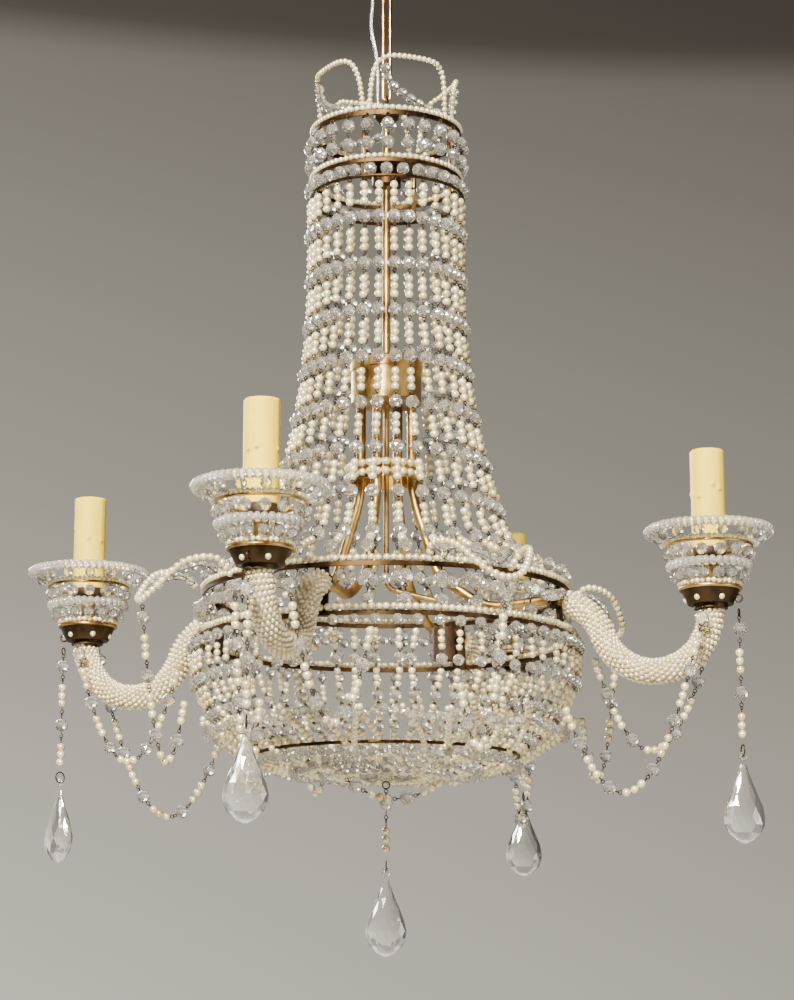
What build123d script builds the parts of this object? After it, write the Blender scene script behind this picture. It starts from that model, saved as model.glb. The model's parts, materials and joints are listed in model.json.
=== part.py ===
from build123d import *
import os
from math import cos, radians, sin, sqrt

# Beaded basket chandelier with four candle arms, hung from a ceiling canopy.
# Millimetres, +Z up. The origin is on the ceiling, on the chandelier's axis.
# Azimuths are degrees around Z, 0 at -Y (the front) and positive towards +X (the right).

os.makedirs("parts", exist_ok=True)

# ---- driving dimensions ----
PEARL_R = 3.0
CRYSTAL_R = 5.0
PIN_R = 0.4  # wire pin through a bead
DRUM_PEARL_R = 2.5  # the smaller pearls on the drum's rings
CROWN_PEARL_R = 2.2
PEARL_PITCH = 6.05
PERIOD = 37.0  # one crystal and three pearls on their pins
LINK_GAP = 0.5  # air at each end of a wired link

ARM_AZIMUTHS = (-19.7, 69.8, 154.7, -109.8)  # front, right, back and left
PETAL_AZIMUTHS = (25.0, 112.2, -157.5, -64.8)  # midway between the arms
CANDLE_R = 242.0  # candle axis from the chandelier's axis

UPPER_ROW_Z = -511.5  # pearl row on the drum's upper ring
LOWER_ROW_Z = UPPER_ROW_Z - 34.5
UPPER_ROW_R = 133.6
LOWER_ROW_R = 137.5
CROWN_ROW_Z = -157.2  # pearl row on the crown's top rim
CROWN_MIDDLE_Z = CROWN_ROW_Z - 37.5
CROWN_ROW_R = 56.4
PAN_RIM_Z = UPPER_ROW_Z - 12.5
SLEEVE_TOP_Z = -425.5
SLEEVE_LENGTH = 70.5  # 2 3/4 inch candle cover
SLEEVE_R = 12.0
SLEEVE_BORE_R = 10.75
LINK_TOP_Z = -39.5  # centre of the link's upper bend, on the canopy loop's wire
LINK_BOTTOM_Z = -128.0  # centre of its lower bend, on the stem loop's wire


# ---- helpers ----
def spot(azimuth, radius, height):
    """The point at an azimuth, a distance from the axis and a height."""
    turn = radians(azimuth)
    return Vector(radius * sin(turn), -radius * cos(turn), height)


def radial_plane(azimuth, origin=(0, 0, 0)):
    """The upright plane at an azimuth: its x points away from the axis and its y up."""
    turn = radians(azimuth)
    return Plane(origin, x_dir=(sin(turn), -cos(turn), 0), z_dir=(-cos(turn), -sin(turn), 0))


def turned(shapes, azimuths):
    """Copies of the shapes, turned about the axis from azimuth 0 to each azimuth."""
    return [shape.rotate(Axis.Z, azimuth) for azimuth in azimuths for shape in shapes]


def even(count, start=0.0):
    """Evenly spaced azimuths."""
    return [start + 360 * i / count for i in range(count)]


def write(piece, name):
    piece.part.label = name
    export_step(piece.part, f"parts/{name}.step")


def bead_pattern(length):
    """A crystal and up to three pearls in each period: (distance along the link, bead radius)."""
    periods = max(1, round(length / PERIOD))
    period = length / periods
    pearls = min(3, int((period - 2 * CRYSTAL_R - 0.6) / (2 * PEARL_R)))
    beads = []
    for i in range(periods):
        crystal = i * period + CRYSTAL_R + 0.5
        beads.append((crystal, CRYSTAL_R))
        first = crystal + (period - 0.5 - PEARL_PITCH * (pearls - 1)) / 2
        beads += [(first + PEARL_PITCH * j, PEARL_R) for j in range(pearls)]
    return beads


def wired_link(start, end, beads=None):
    """One straight run of beads on its wire pins, from start to end, as a solid of revolution."""
    start, end = Vector(start), Vector(end)
    length = (end - start).length - 2 * LINK_GAP
    beads = bead_pattern(length) if beads is None else beads
    with BuildPart() as link:
        with BuildSketch(Plane.XZ):
            with BuildLine():
                height = 0.0
                Line((0, 0), (PIN_R, 0))
                for centre, radius in beads:
                    half = sqrt(radius**2 - PIN_R**2)
                    if centre - half > height:
                        Line((PIN_R, height), (PIN_R, centre - half))
                    ThreePointArc(
                        (PIN_R, centre - half), (radius, centre), (PIN_R, centre + half)
                    )
                    height = centre + half
                Polyline((PIN_R, height), (PIN_R, length), (0, length), (0, 0))
            make_face()
        revolve(axis=Axis.Z)
    along = (end - start).normalized()
    return link.part.moved(Plane(start + along * LINK_GAP, z_dir=along).location)


def wired_chain(points):
    """Straight wired links from each point to the next."""
    return [wired_link(a, b) for a, b in zip(points, points[1:])]


def hanging_chain(start, end, sag):
    """Wired links of about one period each, hanging in a parabola from start to end."""
    control = (start + end) / 2 - Vector(0, 0, 2 * sag)
    path = Bezier(start, control, end, mode=Mode.PRIVATE)
    count = round(path.length / PERIOD)
    reaches = [path.length * i / count for i in range(count + 1)]
    points = [path.position_at(reach, position_mode=PositionMode.LENGTH) for reach in reaches]
    return wired_chain(points)


def bead_row(count, radius, height, bead_r, start=0.0):
    """Separate beads in a ring about the axis."""
    with BuildPart(Location(spot(0, radius, height))) as bead:
        Sphere(bead_r)
    return turned([bead.part], even(count, start))


def swept_rod(points, radii, rod_r):
    """A round rod along straight runs joined by tangent arcs."""
    with BuildPart() as rod:
        with BuildLine():
            path = FilletPolyline(*points, radius=radii)
        with BuildSketch(Plane(path @ 0, z_dir=path % 0)):
            Circle(rod_r)
        sweep()
    return rod.part


# ---- ceiling: strap, canopy and loop ----
STRAP_LENGTH, STRAP_WIDTH, STRAP_THICKNESS = 90.0, 14.0, 1.5
SCREW_SPACING, SCREW_HOLE_R = 70.0, 2.25
CANOPY_R, CANOPY_DEPTH, CANOPY_WALL = 50.0, 25.0, 1.0
CORD_X, CORD_HOLE_R = -12.0, 4.8
STUD_R = 2.4
LOOP_R, LOOP_WIRE_R = 6.0, 1.2

with BuildPart() as mounting_strap:
    with BuildSketch(Plane.XY.offset(-STRAP_THICKNESS)):
        SlotOverall(STRAP_LENGTH, STRAP_WIDTH)
        with GridLocations(SCREW_SPACING, 0, 2, 1):
            Circle(SCREW_HOLE_R, mode=Mode.SUBTRACT)
    extrude(amount=STRAP_THICKNESS)
    with BuildSketch(Plane.XY.offset(-10)):
        Circle(7)
    extrude(amount=10 - STRAP_THICKNESS)
    with BuildSketch(Plane.XY.offset(-10)):
        Circle(STUD_R + 0.05)
    extrude(amount=7, mode=Mode.SUBTRACT)
write(mounting_strap, "mounting_strap")

with BuildPart() as canopy:
    with BuildSketch(Plane.XZ):
        with BuildLine():
            edge = Line((CANOPY_R, 0), (CANOPY_R, -5))
            shoulder = ThreePointArc(edge @ 1, (38, -16), (22, -CANOPY_DEPTH))
            Line(shoulder @ 1, (STUD_R + 0.2, -CANOPY_DEPTH))
            Line((STUD_R + 0.2, -CANOPY_DEPTH), (STUD_R + 0.2, CANOPY_WALL - CANOPY_DEPTH))
            Line((STUD_R + 0.2, CANOPY_WALL - CANOPY_DEPTH), (21.5, CANOPY_WALL - CANOPY_DEPTH))
            inner = ThreePointArc((21.5, CANOPY_WALL - CANOPY_DEPTH), (37.3, -15.2), (49, -4.8))
            Polyline(inner @ 1, (CANOPY_R - CANOPY_WALL, 0), (CANOPY_R, 0))
        make_face()
    revolve(axis=Axis.Z)
    with BuildSketch(Plane.XY.offset(-CANOPY_DEPTH)):
        with Locations((CORD_X, 0)):
            Circle(CORD_HOLE_R)
    extrude(amount=CANOPY_WALL, mode=Mode.SUBTRACT)
write(canopy, "canopy")

# A screwed loop: its ring stands across the view, so that the flat link hangs facing the front.
SHOULDER_Z = -CANOPY_DEPTH - 3
with BuildPart() as canopy_loop:
    with BuildSketch(Plane.XY.offset(SHOULDER_Z)):
        Circle(5.5)
    extrude(amount=3)
    with BuildSketch(Plane.XY.offset(-CANOPY_DEPTH)):
        Circle(STUD_R)
    extrude(amount=CANOPY_DEPTH - 3.5)
    with Locations(Location((0, 0, LINK_TOP_Z + LOOP_R), (0, 90, 0))):
        Torus(LOOP_R, LOOP_WIRE_R)
write(canopy_loop, "canopy_loop")

# ---- hanging link and supply cord ----
LINK_WIRE_R, BEND_R = 1.2, 2.7
with BuildPart() as hanging_link:
    with BuildLine(Plane.XZ) as link_path:
        left = Line((-BEND_R, LINK_BOTTOM_Z), (-BEND_R, LINK_TOP_Z))
        over = ThreePointArc(left @ 1, (0, LINK_TOP_Z + BEND_R), (BEND_R, LINK_TOP_Z))
        right = Line(over @ 1, (BEND_R, LINK_BOTTOM_Z))
        ThreePointArc(right @ 1, (0, LINK_BOTTOM_Z - BEND_R), left @ 0)
    with BuildSketch(Plane(left @ 0, z_dir=left % 0)):
        Circle(LINK_WIRE_R)
    sweep()
write(hanging_link, "hanging_link")

CORD_R = 1.25
CORD_ROUTE = (
    (-12.0, 0.0, -15.0),
    (-12.6, 0.6, -31.0),
    (-10.4, 1.6, -49.0),
    (-13.0, 1.6, -70.0),
    (-8.0, 0.8, -92.0),
    (-6.9, 0.2, -111.0),
    (-7.3, 0.0, -128.0),
    (-6.3, 0.0, -144.5),
)


def corner_radii(route):
    """The largest arc that each corner's two runs allow."""
    radii = []
    for before, corner, after in zip(route, route[1:], route[2:]):
        run_in, run_out = Vector(corner) - Vector(before), Vector(after) - Vector(corner)
        half_turn = radians(run_in.get_angle(run_out)) / 2
        radii.append(0.45 * min(run_in.length, run_out.length) * cos(half_turn) / sin(half_turn))
    return radii


cord_radii = corner_radii(CORD_ROUTE)
print("cord corner radii", [round(radius, 1) for radius in cord_radii])
with BuildPart() as supply_cord:
    with BuildLine():
        cord_path = FilletPolyline(*CORD_ROUTE, radius=cord_radii)
    with BuildSketch(Plane(cord_path @ 0, z_dir=cord_path % 0)):
        Circle(CORD_R)
    sweep()
print("cord length", round(cord_path.length, 1), "volume", round(supply_cord.part.volume, 1))
write(supply_cord, "supply_cord")

# ---- stem ----
CAP_FLOOR_Z = -149.0
STEM_LOOP_R, STEM_R = 5.0, 3.0
HUB_TOP_Z = -337.4
with BuildPart() as stem_loop:
    with Locations(Location((0, 0, LINK_BOTTOM_Z - STEM_LOOP_R), (0, 90, 0))):
        Torus(STEM_LOOP_R, LOOP_WIRE_R)
    with BuildSketch(Plane.XY.offset(CAP_FLOOR_Z + 2)):
        Circle(STUD_R)
    extrude(amount=LINK_BOTTOM_Z - 2 * STEM_LOOP_R - CAP_FLOOR_Z - 2)
write(stem_loop, "stem_loop")

with BuildPart() as stem_cap:
    with BuildSketch(Plane.XZ):
        Polygon(
            (0, CAP_FLOOR_Z),
            (6, CAP_FLOOR_Z),
            (9.6, CAP_FLOOR_Z + 3.2),
            (9.6, CAP_FLOOR_Z + 10),
            (8.8, CAP_FLOOR_Z + 10),
            (8.8, CAP_FLOOR_Z + 3.6),
            (5.6, CAP_FLOOR_Z + 2),
            (0, CAP_FLOOR_Z + 2),
            align=None,
        )
    revolve(axis=Axis.Z)
write(stem_cap, "stem_cap")

with BuildPart() as stem_rod:
    with BuildSketch(Plane.XY.offset(HUB_TOP_Z)):
        Circle(STEM_R)
    extrude(amount=CAP_FLOOR_Z - HUB_TOP_Z)
write(stem_rod, "stem_rod")

SPIDER_Z, SPIDER_R, SPIDER_THICKNESS = -187.0, 25.0, 2.0
SPIDER_HUB_R, SPIDER_HUB_DEPTH = 11.0, 13.0
with BuildPart() as top_spider:
    with BuildSketch(Plane.XY.offset(SPIDER_Z - SPIDER_HUB_DEPTH)):
        Circle(SPIDER_HUB_R)
    extrude(amount=SPIDER_HUB_DEPTH)
    with BuildSketch(Plane.XY.offset(SPIDER_Z)):
        Circle(SPIDER_R)
    extrude(amount=SPIDER_THICKNESS)
    with BuildSketch(Plane.XY.offset(SPIDER_Z - SPIDER_HUB_DEPTH)):
        Circle(STEM_R + 0.05)
    extrude(amount=SPIDER_HUB_DEPTH + SPIDER_THICKNESS, mode=Mode.SUBTRACT)
write(top_spider, "top_spider")

# ---- crown ----
BAND_THICKNESS = 1.6
POST_R, POST_CIRCLE_R = 1.5, 50.0
SPOKE_R = 0.9
HOOP_WIRE_R = 1.2
JOINT_GAP = 0.05  # air at a soldered joint, so that each wire and band is its own solid
CROWN_HOOP_Z = CROWN_MIDDLE_Z - 16
CROWN_HOOP_R = 57.8
TOP_BAND_TOP = CROWN_ROW_Z - CROWN_PEARL_R - 0.05
MIDDLE_BAND_TOP = CROWN_MIDDLE_Z - CROWN_PEARL_R - 0.05
TOP_BAND_HEIGHT, MIDDLE_BAND_HEIGHT = 3.4, 2.4
BAND_R = CROWN_ROW_R + 0.6  # outside of the crown's bands


def crown_band(top, height):
    """A flat hoop inside a row of pearls."""
    with BuildPart() as band:
        with BuildSketch(Plane.XY.offset(top - height)):
            Circle(BAND_R)
            Circle(BAND_R - BAND_THICKNESS, mode=Mode.SUBTRACT)
        extrude(amount=height)
    return band.part


with BuildPart(Location((0, 0, CROWN_HOOP_Z))) as crown_hoop:
    Torus(CROWN_HOOP_R, HOOP_WIRE_R)
# Each post has four spokes: out to the two bands and the hoop, and in to the spider.
with BuildPart() as crown_post:
    with BuildSketch(Plane.XY.offset(CROWN_HOOP_Z - HOOP_WIRE_R)):
        with Locations((0, -POST_CIRCLE_R)):
            Circle(POST_R)
    extrude(amount=TOP_BAND_TOP - 1 - CROWN_HOOP_Z + HOOP_WIRE_R)
    for inner, outer, height in (
        (POST_CIRCLE_R, BAND_R - BAND_THICKNESS - JOINT_GAP, TOP_BAND_TOP - 2.1),
        (POST_CIRCLE_R, BAND_R - BAND_THICKNESS - JOINT_GAP, MIDDLE_BAND_TOP - 1.2),
        (POST_CIRCLE_R, CROWN_HOOP_R - HOOP_WIRE_R - JOINT_GAP, CROWN_HOOP_Z),
        (SPIDER_R + 0.2, POST_CIRCLE_R, SPIDER_Z + 1),
    ):
        with BuildSketch(Plane((0, -inner, height), z_dir=(0, -1, 0))):
            Circle(SPOKE_R)
        extrude(amount=outer - inner)
with BuildPart() as crown_frame:
    add(crown_band(TOP_BAND_TOP, TOP_BAND_HEIGHT))
    add(crown_band(MIDDLE_BAND_TOP, MIDDLE_BAND_HEIGHT))
    add(crown_hoop.part)
    add(turned([crown_post.part], ARM_AZIMUTHS))
write(crown_frame, "crown_frame")

LOOP_WOUND_R, ARCH_HEIGHT = 2.7, 42.0
with BuildPart() as crown_loops:
    for azimuth in ARM_AZIMUTHS:
        arch = [
            spot(azimuth + turn, radius, CROWN_ROW_Z + lift)
            for turn, radius, lift in (
                (4, 50, -2.6),
                (9, 52, 34),
                (27, 53, ARCH_HEIGHT),
                (57, 53, ARCH_HEIGHT),
                (75, 52, 34),
                (81, 50, -2.6),
            )
        ]
        add(swept_rod(arch, (8, 14, 14, 8), LOOP_WOUND_R))
write(crown_loops, "crown_loops")

with BuildPart() as crown_pearls:
    add(bead_row(78, CROWN_ROW_R, CROWN_ROW_Z, CROWN_PEARL_R))
    add(bead_row(78, CROWN_ROW_R, CROWN_MIDDLE_Z, CROWN_PEARL_R))
write(crown_pearls, "crown_pearls")

# Upright links between the rims, and a row of upright oval beads under the middle rim.
CROWN_LINKS = 24
with BuildPart() as crown_crystals:
    drop_top = TOP_BAND_TOP - TOP_BAND_HEIGHT - 0.3
    drop_bottom = CROWN_MIDDLE_Z + CROWN_PEARL_R + 0.3
    drop_length = drop_top - drop_bottom
    upright = wired_link(
        spot(0, CROWN_HOOP_R, drop_top),
        spot(0, CROWN_HOOP_R, drop_bottom),
        [(drop_length * share, CRYSTAL_R) for share in (0.27, 0.73)],
    )
    add(turned([upright], even(CROWN_LINKS)))
    add(bead_row(30, CROWN_HOOP_R, CROWN_HOOP_Z + HOOP_WIRE_R + 4.1, 4.0))
write(crown_crystals, "crown_crystals")

# ---- wiring can, feed tubes and collar ----
CAN_R, CAN_BOTTOM_Z, CAN_RIM_Z = 26.2, -370.0, -346.0
with BuildPart() as hub_can:
    with BuildSketch(Plane.XY.offset(CAN_BOTTOM_Z)):
        Circle(CAN_R)
    extrude(amount=CAN_RIM_Z - CAN_BOTTOM_Z)
    with BuildSketch(Plane.XY.offset(CAN_BOTTOM_Z + 1.5)):
        Circle(CAN_R - 1.2)
    extrude(amount=CAN_RIM_Z - CAN_BOTTOM_Z, mode=Mode.SUBTRACT)
write(hub_can, "hub_can")

with BuildPart() as hub_cap:
    with BuildSketch(Plane.XZ):
        Polygon(
            (0, HUB_TOP_Z),
            (25.5, HUB_TOP_Z),
            (27, HUB_TOP_Z - 1.5),
            (27, CAN_RIM_Z),
            (24.5, CAN_RIM_Z),
            (24.5, HUB_TOP_Z - 2),
            (0, HUB_TOP_Z - 2),
            align=None,
        )
    revolve(axis=Axis.Z)
write(hub_cap, "hub_cap")

FEED_R, FEED_CIRCLE_R = 3.5, 20.0
FEED_END_R, FEED_END_Z = 123.5, -525.3
with BuildPart() as feed_tubes:
    for azimuth in ARM_AZIMUTHS:
        run = [
            spot(azimuth, FEED_CIRCLE_R, CAN_BOTTOM_Z - 0.05),
            spot(azimuth, FEED_CIRCLE_R, -440),
            spot(azimuth, 40, -503),
            spot(azimuth, 78, -529),
            spot(azimuth, FEED_END_R, FEED_END_Z),
        ]
        add(swept_rod(run, (90, 30, 40), FEED_R))
write(feed_tubes, "feed_tubes")

COLLAR_Z = -423.5
with BuildPart() as tube_collar:
    with BuildSketch(Plane.XY.offset(COLLAR_Z - 6.5)):
        Circle(25.2)
        Circle(24.2, mode=Mode.SUBTRACT)
    extrude(amount=13)
write(tube_collar, "tube_collar")

with BuildPart() as collar_pearls:
    for height in (COLLAR_Z - 3.5, COLLAR_Z + 3.5):
        add(bead_row(28, 28.3, height, PEARL_R))
write(collar_pearls, "collar_pearls")

# ---- drum: two rings, brackets, pearls and crystals ----
UPPER_BAND_TOP = UPPER_ROW_Z - DRUM_PEARL_R - 0.05
LOWER_BAND_TOP = LOWER_ROW_Z - DRUM_PEARL_R - 0.05
DRUM_BAND_HEIGHT, DRUM_BAND_THICKNESS = 3.2, 2.0
UPPER_BAND_R, LOWER_BAND_R = UPPER_ROW_R + 1.0, LOWER_ROW_R - 0.5


def drum_band(outer, top):
    with BuildPart() as band:
        with BuildSketch(Plane.XY.offset(top - DRUM_BAND_HEIGHT)):
            Circle(outer)
            Circle(outer - DRUM_BAND_THICKNESS, mode=Mode.SUBTRACT)
        extrude(amount=DRUM_BAND_HEIGHT)
    return band


write(drum_band(UPPER_BAND_R, UPPER_BAND_TOP), "upper_ring")
write(drum_band(LOWER_BAND_R, LOWER_BAND_TOP), "lower_ring")

# The arm tube's root, where it meets the bracket's boss, and the slope that it leaves at.
ROOT_R, ROOT_Z, ROOT_SLOPE = 132.2, -527.2, -15.0
BOSS_R, BOSS_LENGTH = 6.0, 7.2
ARM_TUBE_R, ARM_BORE_R = 5.5, 4.0
with BuildPart() as ring_brackets:
    for azimuth in ARM_AZIMUTHS:
        with BuildSketch(radial_plane(azimuth)):
            Polygon(
                (129.4, UPPER_BAND_TOP),
                (UPPER_BAND_R - 2.2, UPPER_BAND_TOP),
                (UPPER_BAND_R - 2.2, ROOT_Z - 6),
                (LOWER_BAND_R - 2.2, LOWER_BAND_TOP + 2),
                (LOWER_BAND_R - 2.2, LOWER_BAND_TOP - DRUM_BAND_HEIGHT),
                (LOWER_BAND_R - 5.2, LOWER_BAND_TOP - DRUM_BAND_HEIGHT),
                align=None,
            )
        extrude(amount=5, both=True)
        slope = radians(ROOT_SLOPE)
        outwards = spot(azimuth, cos(slope), sin(slope))
        boss_start = spot(azimuth, ROOT_R, ROOT_Z) - outwards * (BOSS_LENGTH + 0.2)
        with BuildSketch(Plane(boss_start, z_dir=outwards)):
            Circle(BOSS_R)
        extrude(amount=BOSS_LENGTH)
        with BuildSketch(Plane(boss_start + outwards * BOSS_LENGTH, z_dir=outwards)):
            Circle(ARM_TUBE_R + 0.15)
        extrude(amount=BOSS_LENGTH, mode=Mode.SUBTRACT)
write(ring_brackets, "ring_brackets")

with BuildPart() as ring_pearls:
    add(bead_row(166, UPPER_ROW_R, UPPER_ROW_Z, DRUM_PEARL_R))
    add(bead_row(170, LOWER_ROW_R, LOWER_ROW_Z, DRUM_PEARL_R))
write(ring_pearls, "ring_pearls")

TENT_STRANDS = 32
TENT_START = 360 / TENT_STRANDS / 2
CRYSTAL_ROW_R, CRYSTAL_ROW_Z = 131.2, UPPER_ROW_Z + 9


def clear_of_arms(azimuth, margin):
    """True if an azimuth is at least margin degrees from every arm."""
    return all(abs((azimuth - arm + 180) % 360 - 180) >= margin for arm in ARM_AZIMUTHS)


with BuildPart() as ring_crystals:
    link_top, link_bottom = UPPER_BAND_TOP - 1, LOWER_ROW_Z - 2
    link = wired_link(
        spot(0, 130.5, link_top),
        spot(0, 130.5, link_bottom),
        [((link_top - link_bottom) / 2, CRYSTAL_R)],
    )
    azimuths = [a for a in even(TENT_STRANDS, TENT_START) if clear_of_arms(a, 6)]
    add(turned([link], azimuths))
    add(bead_row(TENT_STRANDS, CRYSTAL_ROW_R, CRYSTAL_ROW_Z, CRYSTAL_R, TENT_START))
write(ring_crystals, "ring_crystals")

# ---- petals: pearl-wound wire tongues that stand out from the upper ring ----
with BuildPart() as petal_loops:
    for azimuth in PETAL_AZIMUTHS:
        half = [
            (13.0, 139.7, UPPER_ROW_Z - 3),
            (13.0, 152, UPPER_ROW_Z + 8),
            (9.5, 172, UPPER_ROW_Z + 4),
            (4.0, 189, UPPER_ROW_Z - 20),
        ]
        tongue = [spot(azimuth - turn, radius, height) for turn, radius, height in half]
        tongue += [spot(azimuth + turn, radius, height) for turn, radius, height in half[::-1]]
        add(swept_rod(tongue, (8, 16, 9, 9, 16, 8), LOOP_WOUND_R))
write(petal_loops, "petal_loops")

# ---- tent: wired strands from the crown's hoop, flaring out to the upper ring ----
TENT_PROFILE = (
    (57.3, -234.5),
    (58.3, -309.5),
    (66.8, -383.5),
    (84.5, -455.0),
    (97.0, -483.0),
    (125.3, CRYSTAL_ROW_Z + 2.2),
)
with BuildPart() as tent_strands:
    first = spot(0, CROWN_HOOP_R, CROWN_HOOP_Z - 2)
    second = spot(0, *TENT_PROFILE[0])
    reach = (second - first).length
    pearls = [(reach / 2 + step, PEARL_R) for step in (-PEARL_PITCH, 0, PEARL_PITCH)]
    strand = [wired_link(first, second, pearls)]
    strand += wired_chain([spot(0, *point) for point in TENT_PROFILE])
    add(turned(strand, even(TENT_STRANDS, TENT_START)))
write(tent_strands, "tent_strands")

# ---- basket: wired strands from the lower ring to a hoop, and from the hoop to the plate ----
PLATE_Z, PLATE_R, PLATE_THICKNESS = -641.0, 24.0, 2.0
HOOP_R, HOOP_Z = 96.0, -633.5
BASKET_PROFILE = ((142.3, -550.5), (142.5, -587.5), (129.0, -615.5), (99.0, -637.5))
FLOOR_PROFILE = ((95.0, -640.0), (60.0, -645.5), (29.0, -647.5))
with BuildPart() as basket_strands:
    strand = wired_chain([spot(0, *point) for point in BASKET_PROFILE])
    add(turned(strand, even(48, 3.75)))
    strand = wired_chain([spot(0, *point) for point in FLOOR_PROFILE])
    add(turned(strand, even(24)))
write(basket_strands, "basket_strands")

with BuildPart() as basket_hoop:
    with Locations((0, 0, HOOP_Z)):
        Torus(HOOP_R, 1.2)
write(basket_hoop, "basket_hoop")

EYE_R, EYE_WIRE_R = 2.6, 0.6
with BuildPart() as basket_plate:
    with BuildSketch(Plane.XY.offset(PLATE_Z)):
        Circle(PLATE_R)
    extrude(amount=PLATE_THICKNESS)
    with Locations(Location((0, 0, PLATE_Z - EYE_R), (0, 90, 0))):
        Torus(EYE_R, EYE_WIRE_R)
write(basket_plate, "basket_plate")

with BuildPart() as basket_cluster:
    for count, radius, bead_r in ((8, 14.5, CRYSTAL_R), (22, 22.7, PEARL_R)):
        add(bead_row(count, radius, PLATE_Z - bead_r - 0.1, bead_r))
write(basket_cluster, "basket_cluster")

# ---- lamp inside the basket, on a rod that comes down from the wiring can ----
LAMP_X, LAMP_TOP_Z, LAMP_R, LAMP_HEIGHT = 42.0, -539.0, 8.0, 24.0
SOCKET_R, SOCKET_DEPTH = 6.0, 24.0
LAMP_SOCKET_DEPTH = 20.0
with BuildPart() as lamp_rod:
    bends = [
        Vector(0, 0, CAN_BOTTOM_Z - 0.05),
        Vector(0, 0, -510),
        Vector(LAMP_X, 0, -520),
        Vector(LAMP_X, 0, LAMP_TOP_Z + 0.05),
    ]
    add(swept_rod(bends, (10, 8), 2))
write(lamp_rod, "lamp_rod")

with BuildPart() as basket_lampholder:
    with BuildSketch(Plane.XY.offset(LAMP_TOP_Z - LAMP_HEIGHT)):
        with Locations((LAMP_X, 0)):
            Circle(LAMP_R)
    extrude(amount=LAMP_HEIGHT)
    with BuildSketch(Plane.XY.offset(LAMP_TOP_Z - LAMP_HEIGHT)):
        with Locations((LAMP_X, 0)):
            Circle(SOCKET_R)
    extrude(amount=LAMP_SOCKET_DEPTH, mode=Mode.SUBTRACT)
write(basket_lampholder, "basket_lampholder")

# ---- arms: tube from the bracket in a scroll up to the lampholder, and its bead winding ----
WINDING_R = 9.7
SCROLL_R, ROOT_BEND_R = 40.0, 40.0
SCROLL_TOP_Z = PAN_RIM_Z - 17
LAMPHOLDER_BASE_Z = SLEEVE_TOP_Z - SLEEVE_LENGTH - 6.0


def arm_path(azimuth, top, root_length):
    """The arm's centre line, from top down round the scroll and back up to its root."""
    with BuildLine(radial_plane(azimuth)) as path:
        drop = Line((CANDLE_R, top), (CANDLE_R, SCROLL_TOP_Z))
        scroll = JernArc(drop @ 1, drop % 1, SCROLL_R, -161)
        root = JernArc(scroll @ 1, scroll % 1, ROOT_BEND_R, 56)
        Line(root @ 1, root @ 1 + (root % 1) * root_length)
    return path.line


ARM_NAMES = ("front", "right", "back", "left")
for name, azimuth in zip(ARM_NAMES, ARM_AZIMUTHS):
    tube_line = arm_path(azimuth, LAMPHOLDER_BASE_Z, 4.4)
    with BuildPart() as arm_tube:
        with BuildSketch(Plane(tube_line @ 0, z_dir=tube_line % 0)):
            Circle(ARM_TUBE_R)
            Circle(ARM_BORE_R, mode=Mode.SUBTRACT)
        sweep(path=tube_line)
    write(arm_tube, f"arm_tube_{name}")

    winding_line = arm_path(azimuth, SCROLL_TOP_Z + 2, 0.3)
    with BuildPart() as arm_winding:
        with BuildSketch(Plane(winding_line @ 0, z_dir=winding_line % 0)):
            Circle(WINDING_R)
            Circle(ARM_TUBE_R + 0.02, mode=Mode.SUBTRACT)
        sweep(path=winding_line)
    write(arm_winding, f"arm_winding_{name}")

# ---- candle cups: drip pan, wire cage, beads, lampholder and sleeve ----
PAN_FLOOR_Z, PAN_RIM_R, PAN_FLOOR_R = PAN_RIM_Z - 12, 21.5, 16.0
PENDANT_OFFSET = 19.9  # pendant eye from the candle axis
EYE_Z = PAN_FLOOR_Z + 3.5


def at_candle(shape, azimuth):
    """A copy of a shape made on the Z axis, moved out to an arm's candle axis."""
    return shape.moved(Location((0, -CANDLE_R, 0))).rotate(Axis.Z, azimuth)


with BuildPart() as pan:
    with BuildSketch(Plane.XZ):
        Polygon(
            (ARM_TUBE_R + 0.05, PAN_FLOOR_Z - 3),
            (12, PAN_FLOOR_Z - 3),
            (12, PAN_FLOOR_Z),
            (PAN_FLOOR_R, PAN_FLOOR_Z),
            (PAN_RIM_R, PAN_RIM_Z),
            (PAN_RIM_R - 1.1, PAN_RIM_Z),
            (PAN_FLOOR_R - 0.8, PAN_FLOOR_Z + 1),
            (ARM_TUBE_R + 0.05, PAN_FLOOR_Z + 1),
            align=None,
        )
    revolve(axis=Axis.Z)
    with Locations(Location((0, -PENDANT_OFFSET, EYE_Z), (0, 90, 0))):
        Torus(EYE_R, EYE_WIRE_R)
with BuildPart() as drip_pans:
    add([at_candle(pan.part, azimuth) for azimuth in ARM_AZIMUTHS])
write(drip_pans, "drip_pans")

CAGE_RINGS = ((26.0, PAN_RIM_Z + 14), (29.5, PAN_RIM_Z + 30), (42.0, PAN_RIM_Z + 40))
CAGE_WIRE_R, CAGE_RIB_R, CAGE_RIBS = 0.9, 0.6, 12
RIB_INSET = CAGE_WIRE_R + CAGE_RIB_R + 0.05  # the ribs stand just inside the rings
RIB_PROFILE = (
    (14.4, PAN_FLOOR_Z + 1.8),
    (17.4, PAN_RIM_Z + 1),
    *((radius - RIB_INSET, height) for radius, height in CAGE_RINGS[:2]),
    (CAGE_RINGS[2][0] - RIB_INSET, CAGE_RINGS[2][1] + 0.6),
)
rib = swept_rod([spot(0, *point) for point in RIB_PROFILE], (8, 14, 8), CAGE_RIB_R)
cage = turned([rib], even(CAGE_RIBS))
for radius, height in CAGE_RINGS:
    with BuildPart(Location((0, 0, height))) as ring:
        Torus(radius, CAGE_WIRE_R)
    cage.append(ring.part)
with BuildPart() as cup_cages:
    add([at_candle(wire, azimuth) for wire in cage for azimuth in ARM_AZIMUTHS])
write(cup_cages, "cup_cages")

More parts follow.
